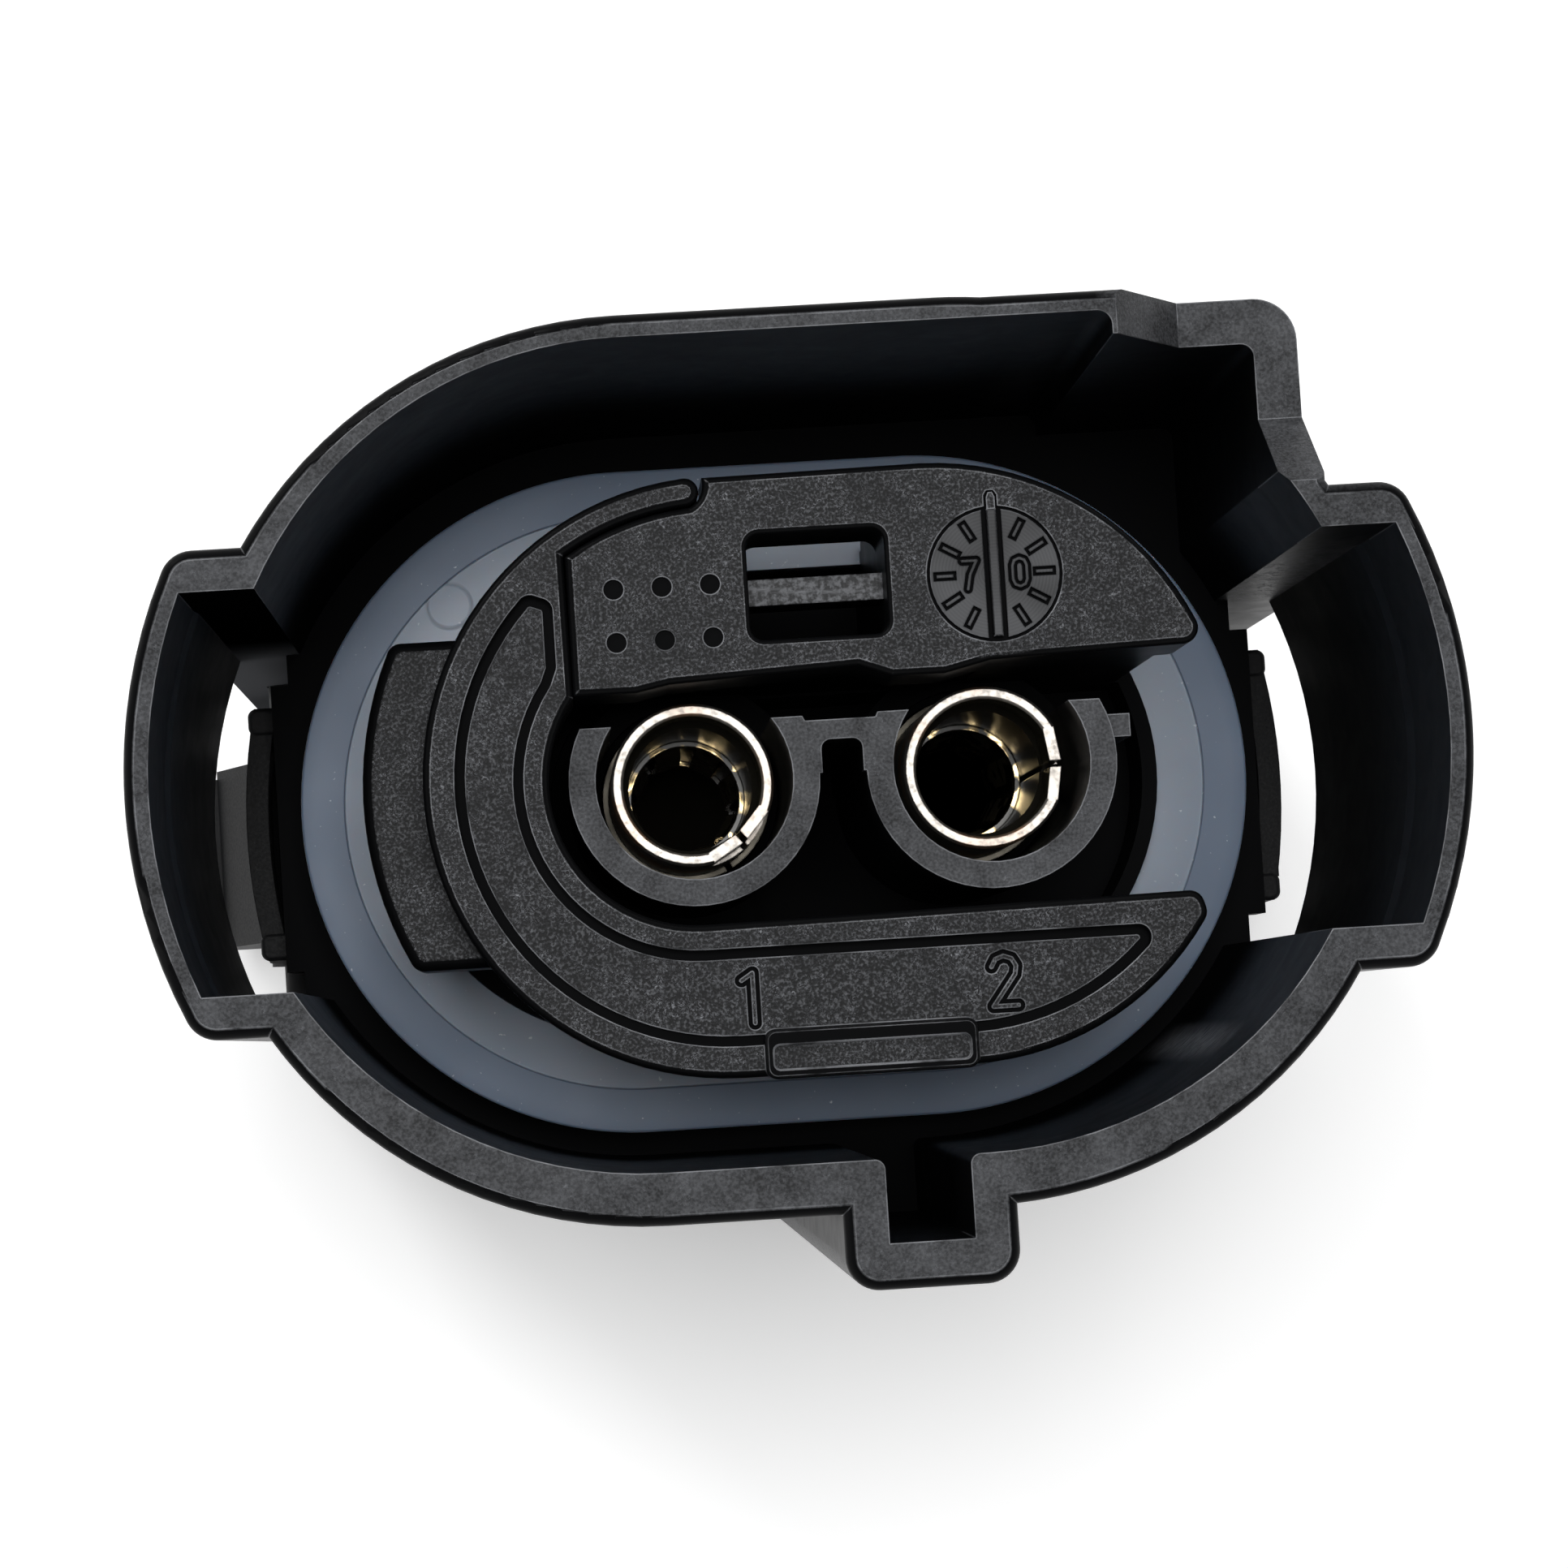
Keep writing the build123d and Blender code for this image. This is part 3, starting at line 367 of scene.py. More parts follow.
    def cover(self, shader):
        """Makes a shader the surface."""
        self.surface = shader
        self.feed(self.output.inputs["Surface"], shader)
        return self.material

    def out_from_oval(self, straight):
        """Distance from the middle line of a shape with two round ends."""
        side = self.math("MAXIMUM", self.absolute(self.along("X")) - straight, 0.0)
        return self.math("SQRT", side * side + self.along("Y") * self.along("Y"), 0.0)

    def facing_out(self):
        """Positive where a wall looks away from the mating axis."""
        normal = self.node("ShaderNodeTexCoord", output="Normal")
        flat = self.vector("MULTIPLY", self.place, (1, 1, 0))
        return self.vector("DOT_PRODUCT", normal, flat, "Value")

    def far_from(self, point):
        """Distance from an upright line through a point."""
        flat = self.vector("MULTIPLY", self.vector("SUBTRACT", self.place, point), (1, 1, 0))
        return self.vector("LENGTH", flat, (0, 0, 0), "Value")


def new_finish(name):
    """Empty material, ready for its layers."""
    return Finish(bpy.data.materials.new(name))


def shade(colour, amount):
    """Lighter or darker version of a colour."""
    return [min(1.0, part * amount) for part in colour]


def dress(material, *names):
    """Gives a material to CAD nodes."""
    for name in names:
        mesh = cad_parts[name].data
        mesh.materials.clear()
        mesh.materials.append(material)


# Finishes
def curly_grain(finish, size):
    """Short curly ridges that glass fibres leave in a moulded face, with finer pits between them."""
    curls = finish.noise(size * 1.6, 0.5, 0.5, 2.0)
    ridge = 1 - finish.span(finish.absolute(curls - 0.5), 0.0, 0.045)
    breaks = finish.ramp(finish.noise(size * 5, 1.0), (0.42, 0.12), (0.6, 1.0))
    fine = finish.noise(size * 0.9, 1.0)
    return ridge * breaks, fine


def near_edge(finish, rounded):
    """Share of a surface that the rounding of an edge reaches."""
    straight = finish.node("ShaderNodeNewGeometry", output="Normal")
    return finish.span(1 - finish.vector("DOT_PRODUCT", rounded, straight, "Value"), 0.012, 0.02)


def above(finish, low):
    """1 from a height upwards."""
    return finish.span(finish.along("Z"), low - 0.03 * MM, low)


def wear_and_highlight_line(finish, plastic, rounded, cloud, low):
    """Thin pale line, patchy, where a front face above a height starts to round off; it is partly wear and
    partly a painted highlight.
    """
    level = finish.span(finish.facing("Z"), 0.99, 0.998) * above(finish, low)
    turned = 1 - finish.vector("DOT_PRODUCT", rounded, (0, 0, 1), "Value")
    worn_highlight = finish.ramp(cloud, (0.35, 0.05), (0.6, 0.9))
    # Pale line along the rounding, partly wear and partly a painted highlight.
    finish.layer(finish.span(turned, 0.0015, 0.003) * level * worn_highlight, Base_Color=shade(plastic.peak, 0.7),
                 Roughness=0.4, Specular_IOR_Level=0.3, Normal=rounded)


def black_plastic(name, plastic, border, low):
    """Polished black walls, pale edges above a height that are partly wear and partly painted highlight,
    and duller black that looks up from the depth.
    """
    finish = new_finish(name)
    wide = finish.soft_edges(border)
    cloud = finish.noise(0.9 * MM, 3.0, 0.6, 0.6)
    roughness = finish.span(cloud, 0.2, 0.8) * 0.1 + 0.3
    finish.layer(Base_Color=plastic.smooth, Roughness=roughness, Specular_IOR_Level=0.06, Normal=wide)
    finish.layer(finish.looking_up(), Base_Color=plastic.smooth, Roughness=0.6, Specular_IOR_Level=0.02)
    rounded = finish.soft_edges(plastic.edge)
    # Pale rounded edges above the height, partly wear and partly a painted highlight.
    worn_highlight = finish.span(cloud, 0.3, 0.6) * 0.7 + 0.3
    worn_highlight = near_edge(finish, rounded) * above(finish, low) * worn_highlight
    finish.layer(worn_highlight, Base_Color=shade(plastic.peak, 0.38), Roughness=0.3, Specular_IOR_Level=0.5,
                 Normal=rounded)
    flat = finish.span(finish.facing("Z"), 0.975, 0.995) * (1 - near_edge(finish, wide))
    return finish, flat, cloud, rounded


def housing_plastic(plastic):
    """Paler speckled front faces over black walls, satin outer walls, rough places, scratched stripes
    painted pale as highlights, and painted window light low on one channel wall.
    """
    low = HOUSING_FACES
    finish, flat, cloud, rounded = black_plastic("housing_plastic", plastic, plastic.border * 0.8, low)
    ridge, fine = curly_grain(finish, plastic.grain)
    level = finish.ramp(fine, (0.35, 0.03), (0.7, 0.15))
    level = level + ridge * 0.16 + finish.ramp(cloud, (0.35, 0.0), (0.75, 0.12))
    tone = finish.mix(level, plastic.pit, plastic.peak)
    normal = finish.bump(fine + ridge * 0.6, 0.02 * MM, 0.6, rounded)
    satin = finish.mix(level, shade(plastic.outside, 0.7), shade(plastic.outside, 3.0))
    finish.layer(outer_walls(finish), Base_Color=satin, Roughness=0.42, Specular_IOR_Level=0.25,
                 Normal=normal)
    height = finish.along("Z")
    # Matte black upper wall of the left latch channel, with painted light low down where the window lets
    # light in.
    left = finish.span(0 - finish.along("X"), 13.4 * MM, 13.8 * MM) * upper_side_wall(finish)
    lit = 1 - finish.span(height, 24.0 * MM, 28.0 * MM)
    window_light_tone = finish.mix(lit, plastic.smooth, shade(plastic.peak, 0.45))
    finish.layer(left, Base_Color=window_light_tone, Roughness=0.7, Specular_IOR_Level=0.0, Normal=rounded)
    finish.layer(rough_channel(finish), Base_Color=shade(plastic.peak, 0.35), Roughness=0.5,
                 Specular_IOR_Level=0.2, Normal=normal)
    # Scratched stripes on the mouth's wall, painted pale as highlights.
    finish.layer(scratched_highlight_walls(finish), Base_Color=shade(plastic.peak, 1.5), Roughness=0.32,
                 Specular_IOR_Level=0.8, Normal=rounded)
    front = finish.math("MAXIMUM", flat, corner_slope(finish)) * finish.span(height, low, low + 0.1 * MM)
    finish.layer(front, Base_Color=tone, Roughness=0.5, Specular_IOR_Level=0.1, Normal=normal)
    wear_and_highlight_line(finish, plastic, rounded, cloud, low)
    return finish.material


def outer_walls(finish):
    """Walls that look away from the mating axis, up to just below the rim."""
    outer = finish.span(finish.facing_out(), 0.0, 1.0 * MM)
    outer = outer * finish.span(finish.out_from_oval(OVAL_HALF), 12.75 * MM, 12.95 * MM)
    return outer * (1 - finish.span(finish.along("Z"), RIM - 0.6 * MM, RIM - 0.3 * MM))


def corner_slope(finish):
    """Slopes of the rim beside the lowered coding corner."""
    slope = finish.band(finish.facing("Z"), 0.3, 0.95, 0.05)
    slope = slope * finish.span(finish.along("X"), 9.5 * MM, 10.0 * MM)
    return slope * finish.span(finish.along("Y"), 6.9 * MM, 7.4 * MM) * 0.9


def upper_side_wall(finish):
    """Side walls of the latch channels that face the key."""
    return finish.span(0 - finish.facing("Y"), 0.7, 0.9) * finish.span(finish.along("Y"), 0.0, 2.0 * MM)


def scratched_highlight_walls(finish):
    """Upright stripes of fine scratches where the mating part rubs the mouth, painted pale as highlights.
    """
    fine = finish.vector("MULTIPLY", finish.place, (1, 1, 5))
    scratches = finish.node("ShaderNodeTexNoise", None, {"Vector": fine, "Scale": 2.2 / MM, "Detail": 3.0})
    scratches = finish.ramp(scratches, (0.35, 0.15), (0.65, 1.0))
    stripes = 0
    for x, y, reach, share in SCRATCHED_HIGHLIGHT_STRIPES:
        near = finish.span(finish.far_from((x * MM, y * MM, 0)), reach * MM, 0.1 * MM)
        stripes = near * share + stripes
    return stripes * scratches * finish.band(finish.along("Z"), 28.0 * MM, 35.0 * MM, 4.0 * MM)


def rough_channel(finish):
    """Spark-eroded side wall of the right latch channel."""
    side = finish.span(finish.along("X"), 14.6 * MM, 15.0 * MM)
    height = finish.along("Z")
    fade = finish.span(height, 22.0 * MM, 24.0 * MM) * (1 - finish.span(height, 33.0 * MM, 39.0 * MM))
    sparks = finish.ramp(finish.noise(0.14 * MM, 2.0), (0.42, 0.0), (0.62, 1.0))
    return side * upper_side_wall(finish) * fade * sparks


def insert_plastic(name, plastic, low, levels, marks):
    """Glass-filled plastic with curly grain on the faces at the given heights and inside the marks."""
    finish, flat, cloud, rounded = black_plastic(name, plastic, plastic.border, low)
    height = finish.along("Z")
    grained = 0
    for start, stop in levels:
        grained = finish.band(height, start * MM, stop * MM, 0.03 * MM) + grained
    engraved = 0
    for x, y, radius in marks:
        near = 1 - finish.span(finish.far_from((x * MM, y * MM, 0)), (radius - 0.1) * MM, radius * MM)
        engraved = near + engraved
    up = finish.looking_up()
    ridge, fine = curly_grain(finish, plastic.grain)
    level = finish.ramp(fine, (0.42, 0.0), (0.54, 0.04), (0.66, 0.2)) + ridge * 0.66
    level = level * (finish.span(cloud, 0.2, 0.8) * 0.7 + 0.5)
    tone = finish.mix(level, plastic.pit, plastic.peak)
    normal = finish.bump(ridge + fine * 0.6, 0.03 * MM, 0.7, rounded)
    face = finish.math("MAXIMUM", flat, up * engraved) * grained
    finish.layer(face, Base_Color=tone, Roughness=0.5, Specular_IOR_Level=0.1, Normal=normal)
    wear_and_highlight_line(finish, plastic, rounded, cloud, low)
    return finish, up, rounded


def lock_plastic(plastic):
    """Grain on the lock's band, sunken floor, ledge and finger tab."""
    finish = insert_plastic("lock_plastic", plastic, LOCK_FACES, LOCK_LEVELS, NUMERALS)[0]
    return finish.material


def retainer_plastic(plastic):
    """Grain on the retainer's face, a turned date insert and a scuffed bar across the window, with a
    painted highlight streak across the bar.
    """
    finish, up, rounded = insert_plastic("retainer_plastic", plastic, RETAINER_FACES, RETAINER_LEVELS,
                                         DIAL_MARKS)
    far = finish.far_from(DIAL_CENTRE)
    disc = (1 - finish.span(far, DIAL_RADIUS - 0.03 * MM, DIAL_RADIUS)) * up
    disc = disc * finish.span(finish.along("Z"), 39.7 * MM, 39.76 * MM)
    rings = finish.math("SINE", far * (2 * math.pi / (0.1 * MM)), 0.0) * 0.5 + 0.5
    glow = finish.ramp(finish.noise(1.6 * MM, 1.0), (0.4, 0.0), (0.62, 1.0))
    turned = finish.mix(rings * 0.25 + glow * 0.75, shade(plastic.peak, 0.05), shade(plastic.peak, 0.17))
    normal = finish.bump(rings, 0.006 * MM, 0.2, rounded)
    finish.layer(disc, Base_Color=turned, Roughness=0.45, Specular_IOR_Level=0.15, Normal=normal)
    bar = finish.band(finish.along("Z"), *BAR_LEVEL, 0.05 * MM) * up
    scuffs_and_streak = finish.ramp(finish.noise(0.09 * MM, 3.0, 0.6), (0.42, 0.03), (0.62, 0.3))
    # A diagonal band of fibres across the bar, painted pale as a highlight streak.
    slant = finish.along("Y") + finish.along("X") * 0.09
    painted_streak = finish.band(slant, 5.36 * MM, 5.4 * MM, 0.1 * MM)
    fibres = finish.vector("MULTIPLY", finish.place, (1, 6, 1))
    fibres = finish.node("ShaderNodeTexNoise", None, {"Vector": fibres, "Scale": 1.4 / MM, "Detail": 3.0})
    painted_streak = painted_streak * finish.ramp(fibres, (0.4, 0.0), (0.65, 1.0))
    scuffs_and_streak = finish.math("MAXIMUM", scuffs_and_streak, painted_streak * 0.4)
    return finish.layer(bar * 0.9, Base_Color=finish.mix(scuffs_and_streak, plastic.pit, shade(plastic.peak, 1.2)),
                        Roughness=0.4, Specular_IOR_Level=0.1, Normal=normal)


def plain_plastic(name, colour, roughness, plastic, shine=0.2):
    """Smooth dark plastic with a faint grain."""
    finish = new_finish(name)
    grain = finish.noise(plastic.grain, 2.0)
    cloud = finish.noise(3.0 * MM, 2.0)
    tone = finish.mix(finish.ramp(cloud, (0.3, 0.0), (0.7, 1.0)), shade(colour, 0.8), shade(colour, 1.3))
    rough = finish.span(grain, 0.3, 0.7) * 0.1 + roughness
    normal = finish.bump(grain, 0.02 * MM, 0.3, finish.soft_edges(plastic.edge))
    return finish.layer(Base_Color=tone, Roughness=rough, Specular_IOR_Level=shine, Normal=normal)


def seal_silicone(seal, top):
    """Blue-grey silicone, paler on its flat flange, with a moulding mark and a little dust."""
    finish = new_finish("seal_silicone")
    lip = finish.span(finish.along("Z"), top - 0.06 * MM, top - 0.02 * MM)
    cloud = finish.noise(4.0 * MM, 3.0)
    dust = finish.ramp(finish.noise(0.11 * MM, 2.0), (0.72, 0.0), (0.77, 0.5))
    tone = finish.mix(lip, seal.flange, seal.lip)
    tone = finish.mix(finish.ramp(cloud, (0.35, 0.0), (0.7, 0.3)), tone, shade(seal.lip, 0.85))
    mark = finish.absolute(finish.far_from(EJECTOR_CENTRE) - EJECTOR_RADIUS)
    mark = (1 - finish.span(mark, 0.0, 0.08 * MM)) * (1 - lip)
    tone = finish.mix(mark * 0.35, tone, shade(seal.flange, 0.35))
    normal = finish.bump(cloud + mark * -2.0, 0.04 * MM, 0.3, finish.soft_edges(0.05 * MM))
    roughness = finish.span(cloud, 0.2, 0.8) * 0.15 + 0.42
    return finish.layer(Base_Color=finish.mix(dust, tone, seal.dust), Roughness=roughness, Normal=normal,
                        Specular_IOR_Level=0.3, Subsurface_Weight=0.25, Subsurface_Scale=0.4 * MM)


def plain_rubber(seal):
    """Rubber of the wire seals, in the seal's colour."""
    finish = new_finish("wire_seal_rubber")
    cloud = finish.noise(1.0 * MM, 3.0)
    tone = finish.mix(finish.ramp(cloud, (0.3, 0.0), (0.7, 1.0)), shade(seal.lip, 0.7), seal.lip)
    roughness = finish.span(cloud, 0.2, 0.8) * 0.15 + 0.45
    normal = finish.bump(cloud, 0.03 * MM, 0.3, finish.soft_edges(0.05 * MM))
    return finish.layer(Base_Color=tone, Roughness=roughness, Normal=normal, Specular_IOR_Level=0.3)


def socket_plating(metal):
    """Bright ends and outer walls that show copper in places, over insides painted dark as shade."""
    finish = new_finish("socket_plating")
    low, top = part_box("socket_barrel_1")
    sides = []
    for name in ("socket_barrel_1", "socket_barrel_2"):
        start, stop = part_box(name)
        sides.append(finish.far_from(((start.x + stop.x) / 2, (start.y + stop.y) / 2, 0)))
    away = finish.math("MINIMUM", *sides)
    outer = (top.x - low.x) / 2
    end = finish.span(finish.along("Z"), top.z - 0.1 * MM, top.z - 0.04 * MM)
    skin = finish.span(away, outer - 0.2 * MM, outer - 0.12 * MM)
    patch = finish.ramp(finish.noise(1.5 * MM, 1.0), (0.52, 0.0), (0.6, 0.8))
    slope = 1 - finish.span(finish.facing("Z"), 0.75, 0.99) * 0.7
    scratch = finish.noise(0.12 * MM, 3.0, 0.6)
    smear = finish.noise(0.5 * MM, 2.0)
    bright = finish.mix(patch * slope, metal.plating, metal.copper)
    bright = finish.mix(finish.ramp(scratch, (0.5, 0.0), (0.72, 0.8)), bright, shade(metal.plating, 0.45))
    bright = finish.mix(finish.ramp(smear, (0.45, 0.0), (0.7, 0.5)), bright, shade(metal.plating, 0.6))
    roughness = finish.span(scratch, 0.2, 0.8) * 0.14 + 0.34
    normal = finish.bump(scratch, 0.01 * MM, 0.4, finish.soft_edges(metal.edge))
    finish.layer(Base_Color=metal.bore, Roughness=0.26, Specular_IOR_Level=0.2, Normal=normal)
    # Faces looking up inside the sockets, painted darker still as shade.
    floor = finish.span(finish.facing("Z"), 0.6, 0.9)
    finish.layer(floor, Base_Color=shade(metal.bore, 0.2), Roughness=0.6, Specular_IOR_Level=0.02)
    return finish.layer(finish.math("MAXIMUM", end, skin), Base_Color=bright, Metallic=1.0,
                        Roughness=roughness, Normal=normal)


def spring_alloy(metal):
    """Springs painted dark as shade, with gold metal patches that catch glints."""
    finish = new_finish("spring_alloy")
    rounded = finish.soft_edges(metal.edge)
    blobs = finish.noise(0.45 * MM, 1.0)
    normal = finish.bump(blobs, 0.15 * MM, 0.8, rounded)
    # Dark base painted as shade over the springs; the gold patches below catch glints.
    finish.layer(Base_Color=metal.bore, Roughness=0.3, Specular_IOR_Level=0.4, Normal=rounded)
    glint = finish.ramp(blobs, (0.49, 0.0), (0.57, 1.0))
    return finish.layer(glint, Base_Color=metal.cage, Metallic=1.0, Roughness=0.12, Normal=normal)


def sleeve_steel(metal):
    """Rolled steel of the outer sleeves, painted dark as shade, with faint stains."""
    finish = new_finish("sleeve_steel")
    stain = finish.noise(0.9 * MM, 3.0)
    tone = finish.mix(finish.ramp(stain, (0.35, 0.0), (0.65, 1.0)), metal.sleeve, shade(metal.sleeve, 0.4))
    rough = finish.span(stain, 0.2, 0.8) * 0.15 + 0.25
    normal = finish.bump(stain, 0.02 * MM, 0.25, finish.soft_edges(metal.edge))
    return finish.layer(Base_Color=tone, Metallic=1.0, Roughness=rough, Normal=normal)


# Modelling
def pick(kind, test):
    """Selects the faces or edges of the mesh in hand whose middle passes a test."""
    bpy.ops.mesh.select_mode(type=kind)
    bpy.ops.mesh.select_all(action="DESELECT")
    mesh = bpy.context.object.data
    shell = bmesh.from_edit_mesh(mesh)
    for part in list(shell.faces if kind == "FACE" else shell.edges):
        middle = sum((corner.co for corner in part.verts), Vector()) / len(part.verts)
        if test(middle):
            part.select_set(True)
    bmesh.update_edit_mesh(mesh)


def close_to(value, wanted):
    """True within a hundredth of a millimetre."""
    return abs(value - wanted) < 0.01 * MM


def out_from(point, straight):
    """Distance from the middle line of a shape with two round ends."""
    return math.hypot(max(abs(point.x) - straight, 0.0), point.y)


def start_disc(name, radius, straight, low):
    """Flat disc, drawn out along X, with its mesh open for editing."""
    bpy.ops.object.select_all(action="DESELECT")
    bpy.ops.mesh.primitive_circle_add(vertices=DISC_CORNERS, radius=radius, fill_type="NGON",
                                      location=(0, 0, low), rotation=(0, 0, math.pi / DISC_CORNERS))
    bpy.ops.object.transform_apply(location=True, rotation=True, scale=True)
    disc = bpy.context.object
    disc.name = name
    bpy.ops.object.mode_set(mode="EDIT")
    if straight:
        for side in (-1, 1):
            bpy.ops.mesh.select_mode(type="VERT")
            bpy.ops.mesh.select_all(action="DESELECT")
            shell = bmesh.from_edit_mesh(disc.data)
            for corner in shell.verts:
                corner.select_set(corner.co.x * side > 0)
            bmesh.update_edit_mesh(disc.data)
            bpy.ops.transform.translate(value=(side * straight, 0, 0))
        pick("EDGE", lambda middle: abs(middle.x) < 0.1 * MM)
        bpy.ops.mesh.subdivide(number_cuts=SIDE_CUTS)
    pick("FACE", lambda middle: True)
    return disc


def raise_face(rise):
    """Draws the selected face up by extruding it."""
    bpy.ops.mesh.extrude_region_move(TRANSFORM_OT_translate={"value": (0, 0, rise)})


def hollow(low, bore, straight):
    """Opens the selected face down to the bottom and joins both rims there."""
    mesh = bpy.context.object.data
    bpy.ops.mesh.delete(type="FACE")
    pick("FACE", lambda middle: close_to(middle.z, low) and out_from(middle, straight) < bore * 0.5)
    bpy.ops.mesh.delete(type="FACE")
    bpy.ops.mesh.select_mode(type="EDGE")
    shell = bmesh.from_edit_mesh(mesh)
    for edge in shell.edges:
        edge.select_set(edge.is_boundary)
    bmesh.update_edit_mesh(mesh)
    bpy.ops.mesh.bridge_edge_loops()
    bpy.ops.mesh.select_all(action="SELECT")
    bpy.ops.mesh.normals_make_consistent(inside=False)


def raise_lips(lips, radius, rise, straight, softness):
    """Draws bands of the outer wall outwards and rounds them."""
    def on_lip(middle):
        wall = out_from(middle, straight) > radius * 0.98
        return wall and any(low < middle.z < high for low, high in lips)

    pick("FACE", on_lip)
    bpy.ops.mesh.extrude_region_shrink_fatten(
        TRANSFORM_OT_shrink_fatten={"value": rise, "use_even_offset": True}
    )
    levels = [level for lip in lips for level in lip]
    pick("EDGE", lambda middle: out_from(middle, straight) > radius + rise * 0.9
         and any(close_to(middle.z, level) for level in levels))
    bpy.ops.mesh.bevel(offset=softness, offset_type="OFFSET", segments=EDGE_SEGMENTS, affect="EDGES")


def finish_soft(piece, node, material):
    """Smooths a soft piece and puts it in the place of its CAD solid."""
    bpy.ops.object.mode_set(mode="OBJECT")
    bpy.ops.object.shade_smooth_by_angle(angle=SMOOTH_ANGLE)
    piece.data.materials.clear()
    piece.data.materials.append(material)
    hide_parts(node)
    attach(piece, "housing")


def make_face_seal(seal):
    """Ring seal with two lips outside, a flange and a groove inside them, and a tongue below the window."""
    low, high = [corner.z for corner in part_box("perimeter_seal")]
    second = high - FACE_LIP_STEP
    lips = [(second - FACE_LIP_LENGTH, second), (high - FACE_LIP_LENGTH, high)]
    piece = start_disc("face_seal", seal.body, seal.straight, low)
    levels = [low] + [level for lip in lips for level in lip]
    for start, stop in zip(levels, levels[1:]):
        raise_face(stop - start)
    inner = seal.body + seal.lip_rise - seal.lip_width
    bpy.ops.mesh.inset(thickness=seal.body - inner, depth=0)
    bpy.ops.mesh.inset(thickness=GROOVE * 0.35, depth=-seal.drop * 1.2)
    bpy.ops.mesh.inset(thickness=GROOVE * 0.3, depth=0)
    bpy.ops.mesh.inset(thickness=GROOVE * 0.35, depth=seal.drop * 0.2)
    bpy.ops.mesh.inset(thickness=inner - seal.bore - GROOVE, depth=0)
    flange = high - seal.drop
    tongue_low = flange - TONGUE_DEPTH
    raise_face(tongue_low - flange)
    raise_face(low - tongue_low)
    hollow(low, seal.bore, seal.straight)
    raise_lips(lips, seal.body, seal.lip_rise, seal.straight, FACE_LIP_SOFTNESS)
    left, right = TONGUE_SIDES
    pick("FACE", lambda middle: tongue_low < middle.z < flange - 0.01 * MM and middle.y > 0
         and close_to(out_from(middle, seal.straight), seal.bore) and left < middle.x < right)
    bpy.ops.mesh.extrude_region_move(TRANSFORM_OT_translate={"value": (0, -TONGUE_REACH, 0)})
    return piece


def make_wire_seal():
    """Ribbed tube round one wire, on the first wire's axis."""
    low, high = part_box("wire_seal_1")
    middle = (low + high) / 2
    body = WIRE_SEAL_BODY
    piece = start_disc("wire_seal_ribs_1", body, 0.0, low.z)
    starts = [low.z + WIRE_RIB_START + WIRE_RIB_STEP * step for step in range(WIRE_RIB_COUNT)]
    ribs = [(start, start + WIRE_RIB_LENGTH) for start in starts]
    levels = [low.z] + [level for rib in ribs for level in rib] + [high.z]
    for start, stop in zip(levels, levels[1:]):
        raise_face(stop - start)
    bpy.ops.mesh.inset(thickness=body - WIRE_SEAL_BORE, depth=0)
    raise_face(low.z - high.z)
    hollow(low.z, WIRE_SEAL_BORE, 0.0)
    raise_lips(ribs, body, (high.x - low.x) / 2 - body, 0.0, WIRE_RIB_SOFTNESS)
    bpy.ops.mesh.select_all(action="SELECT")
    bpy.ops.transform.translate(value=(middle.x, middle.y, 0))
    return piece


# Operators
class CONNECTOR_OT_plastics(bpy.types.Operator):
    """Finish the housing, lock, retainer, levers and cap"""

    bl_idname = "connector.plastics"
    bl_label = "Finish plastics"

    def execute(self, context):
        plastic = context.scene.connector_plastic
        dress(housing_plastic(plastic), "connector_housing")
        dress(lock_plastic(plastic), "terminal_lock")
        dress(retainer_plastic(plastic), "seal_retainer")
        levers = plain_plastic("lever_plastic", shade(plastic.outside, 0.35), 0.45, plastic, 0.08)
        dress(levers, "latch_lever_left", "latch_lever_right")
        dress(plain_plastic("cap_plastic", plastic.cap, 0.42, plastic), "rear_cap")
        return {"FINISHED"}


class CONNECTOR_OT_seals(bpy.types.Operator):
    """Finish the silicone seals"""

    bl_idname = "connector.seals"
    bl_label = "Finish seals"

    def execute(self, context):
        seal = context.scene.connector_seal
        ring = make_face_seal(seal)
        silicone = seal_silicone(seal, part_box("perimeter_seal")[1].z)
        finish_soft(ring, "perimeter_seal", silicone)
        first = make_wire_seal()
        rubber = plain_rubber(seal)
        finish_soft(first, "wire_seal_1", rubber)
        bpy.ops.object.duplicate(linked=False)
        second = bpy.context.object
        second.name = "wire_seal_ribs_2"
        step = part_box("wire_seal_2")[0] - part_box("wire_seal_1")[0]
        bpy.ops.object.mode_set(mode="EDIT")
        bpy.ops.mesh.select_all(action="SELECT")
        bpy.ops.transform.translate(value=step)
        finish_soft(second, "wire_seal_2", rubber)
        return {"FINISHED"}


class CONNECTOR_OT_contacts(bpy.types.Operator):
    """Finish the sockets, sleeves and springs"""

    bl_idname = "connector.contacts"
    bl_label = "Finish contacts"

    def execute(self, context):
        metal = context.scene.connector_metal
        dress(socket_plating(metal), "socket_barrel_1", "socket_barrel_2")
        dress(sleeve_steel(metal), "contact_sleeve_1", "contact_sleeve_2")
        dress(spring_alloy(metal), "spring_cage_1", "spring_cage_2")
        return {"FINISHED"}


class CONNECTOR_OT_studio(bpy.types.Operator):
    """Make the floor, backdrop, lamps and camera"""

    bl_idname = "connector.studio"
    bl_label = "Make studio"

    def execute(self, context):
        studio = context.scene.connector_studio
        make_floor(studio)
        make_lamps(studio)
        make_camera(studio)
        context.scene.view_settings.view_transform = "Standard"
        return {"FINISHED"}


def seen_directly(finish):
    """1 for what the camera, a gloss or glass sees, and 0 for light on the object."""
    camera, gloss, glass = [
        finish.node("ShaderNodeLightPath", output=ray)
        for ray in ("Is Camera Ray", "Is Glossy Ray", "Is Transmission Ray")
    ]
    return finish.math("MAXIMUM", camera, finish.math("MAXIMUM", gloss, glass))


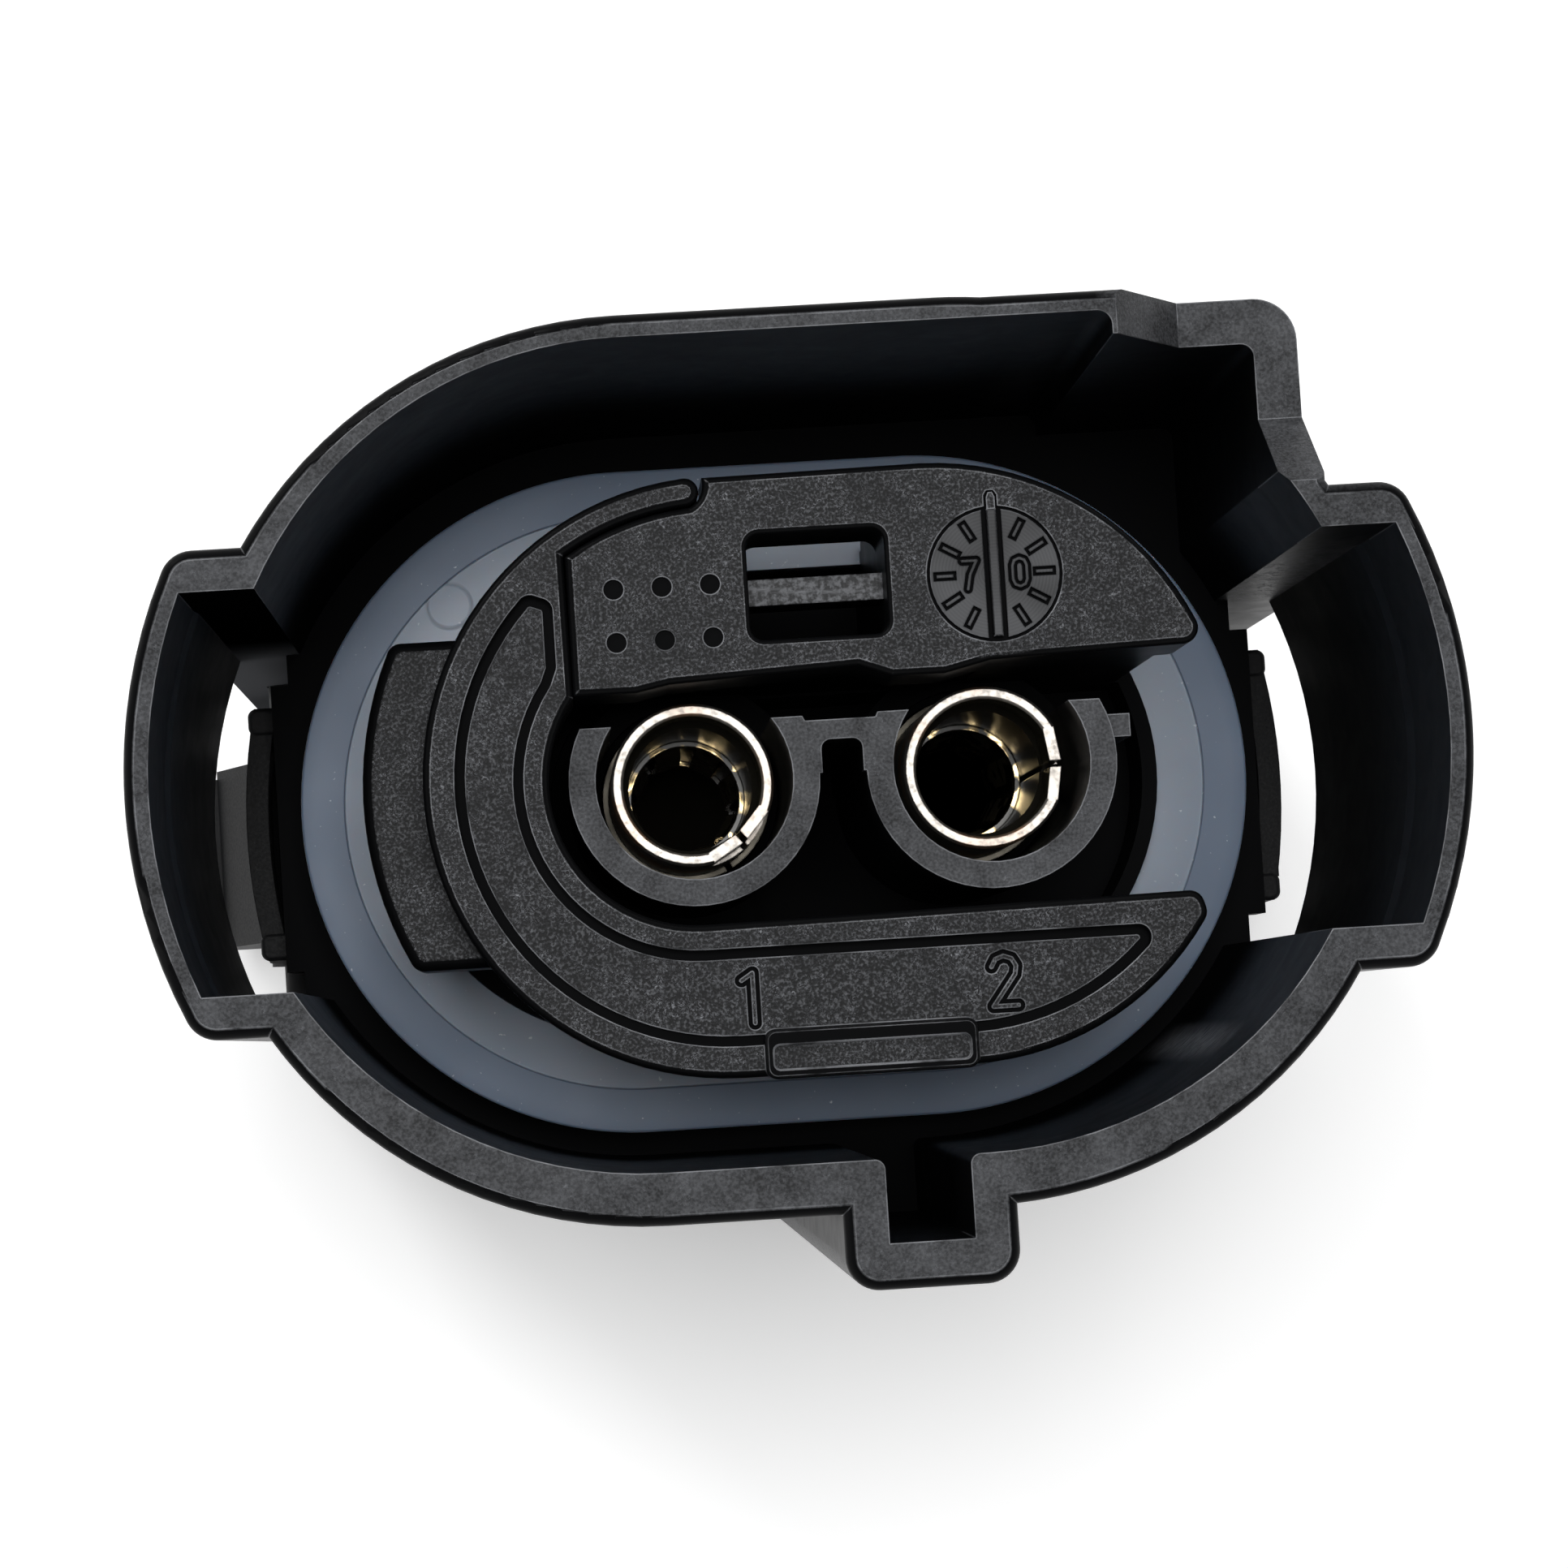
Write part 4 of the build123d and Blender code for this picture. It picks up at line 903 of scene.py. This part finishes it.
def make_floor(studio):
    """Wide pale floor that keeps a soft shadow near the object and is white far from it."""
    bpy.ops.object.select_all(action="DESELECT")
    bpy.ops.mesh.primitive_plane_add(size=FLOOR_SIZE, location=(0, 0, -FLOOR_GAP))
    floor = bpy.context.object
    floor.name = "studio_floor"
    finish = new_finish("studio_floor")
    seen = seen_directly(finish)
    plain = finish.node("ShaderNodeBsdfDiffuse", None, {"Color": studio.floor})
    glow = finish.node("ShaderNodeEmission", None, {"Color": WHITE, "Strength": seen * studio.glow})
    near = finish.node("ShaderNodeAddShader", None, {0: plain, 1: glow})
    far = finish.node("ShaderNodeEmission", None, {"Color": WHITE, "Strength": 1.0})
    away = finish.span(finish.far_from((0, 0, 0)), *FLOOR_FADE)
    finish.cover(finish.node("ShaderNodeMixShader", None, {0: away * seen, 1: near, 2: far}))
    floor.data.materials.append(finish.material)


def make_lamps(studio):
    """Large soft lamp above the mouth, two weaker lamps beside it and an even world."""
    middle = Vector((0, 0, RIM))
    for name, place, width, share in LAMPS:
        data = bpy.data.lights.new(name, "AREA")
        data.size = width
        data.energy = studio.key * share
        lamp = bpy.data.objects.new(name, data)
        bpy.context.scene.collection.objects.link(lamp)
        lamp.location = place
        lamp.rotation_euler = (Vector(place) - middle).to_track_quat("Z", "Y").to_euler()
    world = bpy.data.worlds.new("studio_world")
    bpy.context.scene.world = world
    sky = Finish(world, "ShaderNodeOutputWorld")
    level = seen_directly(sky) * (1.0 - studio.fill) + studio.fill
    sky.cover(sky.node("ShaderNodeBackground", None, {"Color": WHITE, "Strength": level}))


def make_camera(studio):
    """Camera over the mating mouth, from the vanishing point of the mating axis and the rim's place."""
    half = studio.picture / 2

    def ray(pixel):
        across, down = pixel[0] - studio.aim[0], pixel[1] - studio.aim[1]
        return Vector((across / studio.focal, -down / studio.focal, -1.0))

    up = -ray(studio.vanishing).normalized()
    side = Vector((math.cos(studio.roll), math.sin(studio.roll), 0.0))
    side = (side - up * side.dot(up)).normalized()
    turn = Matrix((side, up.cross(side), up))
    rim_middle = Vector((0.0, 0.0, RIM))
    place = rim_middle - turn @ (ray(studio.centre) * studio.distance)
    data = bpy.data.cameras.new("camera")
    data.sensor_width = SENSOR_WIDTH
    data.lens = studio.focal / studio.picture * data.sensor_width
    data.shift_x = (half - studio.aim[0]) / studio.picture
    data.shift_y = (studio.aim[1] - half) / studio.picture
    data.clip_start = NEAREST_SEEN
    camera = bpy.data.objects.new("camera", data)
    bpy.context.scene.collection.objects.link(camera)
    camera.matrix_world = Matrix.Translation(place) @ turn.to_4x4()
    bpy.context.scene.camera = camera


class CONNECTOR_PT_panel(bpy.types.Panel):
    """Connector looks in the sidebar"""

    bl_label = "Connector"
    bl_idname = "CONNECTOR_PT_panel"
    bl_space_type = "VIEW_3D"
    bl_region_type = "UI"
    bl_category = "Connector"

    def draw(self, context):
        for operator in OPERATORS:
            self.layout.operator(operator.bl_idname)
        for name in SETTINGS:
            group = getattr(context.scene, name)
            for key in group.bl_rna.properties.keys():
                if key not in ("rna_type", "name"):
                    self.layout.prop(group, key)


SETTINGS = {
    "connector_plastic": PlasticSettings,
    "connector_seal": SealSettings,
    "connector_metal": MetalSettings,
    "connector_studio": StudioSettings,
}
OPERATORS = [CONNECTOR_OT_plastics, CONNECTOR_OT_seals, CONNECTOR_OT_contacts, CONNECTOR_OT_studio]


def register():
    for name, group in SETTINGS.items():
        bpy.utils.register_class(group)
        setattr(bpy.types.Scene, name, bpy.props.PointerProperty(type=group))
    for operator in OPERATORS:
        bpy.utils.register_class(operator)
    bpy.utils.register_class(CONNECTOR_PT_panel)


def unregister():
    bpy.utils.unregister_class(CONNECTOR_PT_panel)
    for operator in reversed(OPERATORS):
        bpy.utils.unregister_class(operator)
    for name, group in SETTINGS.items():
        delattr(bpy.types.Scene, name)
        bpy.utils.unregister_class(group)


def main():
    register()
    bpy.ops.connector.plastics()
    bpy.ops.connector.seals()
    bpy.ops.connector.contacts()
    bpy.ops.connector.studio()


if __name__ == "__main__":
    main()
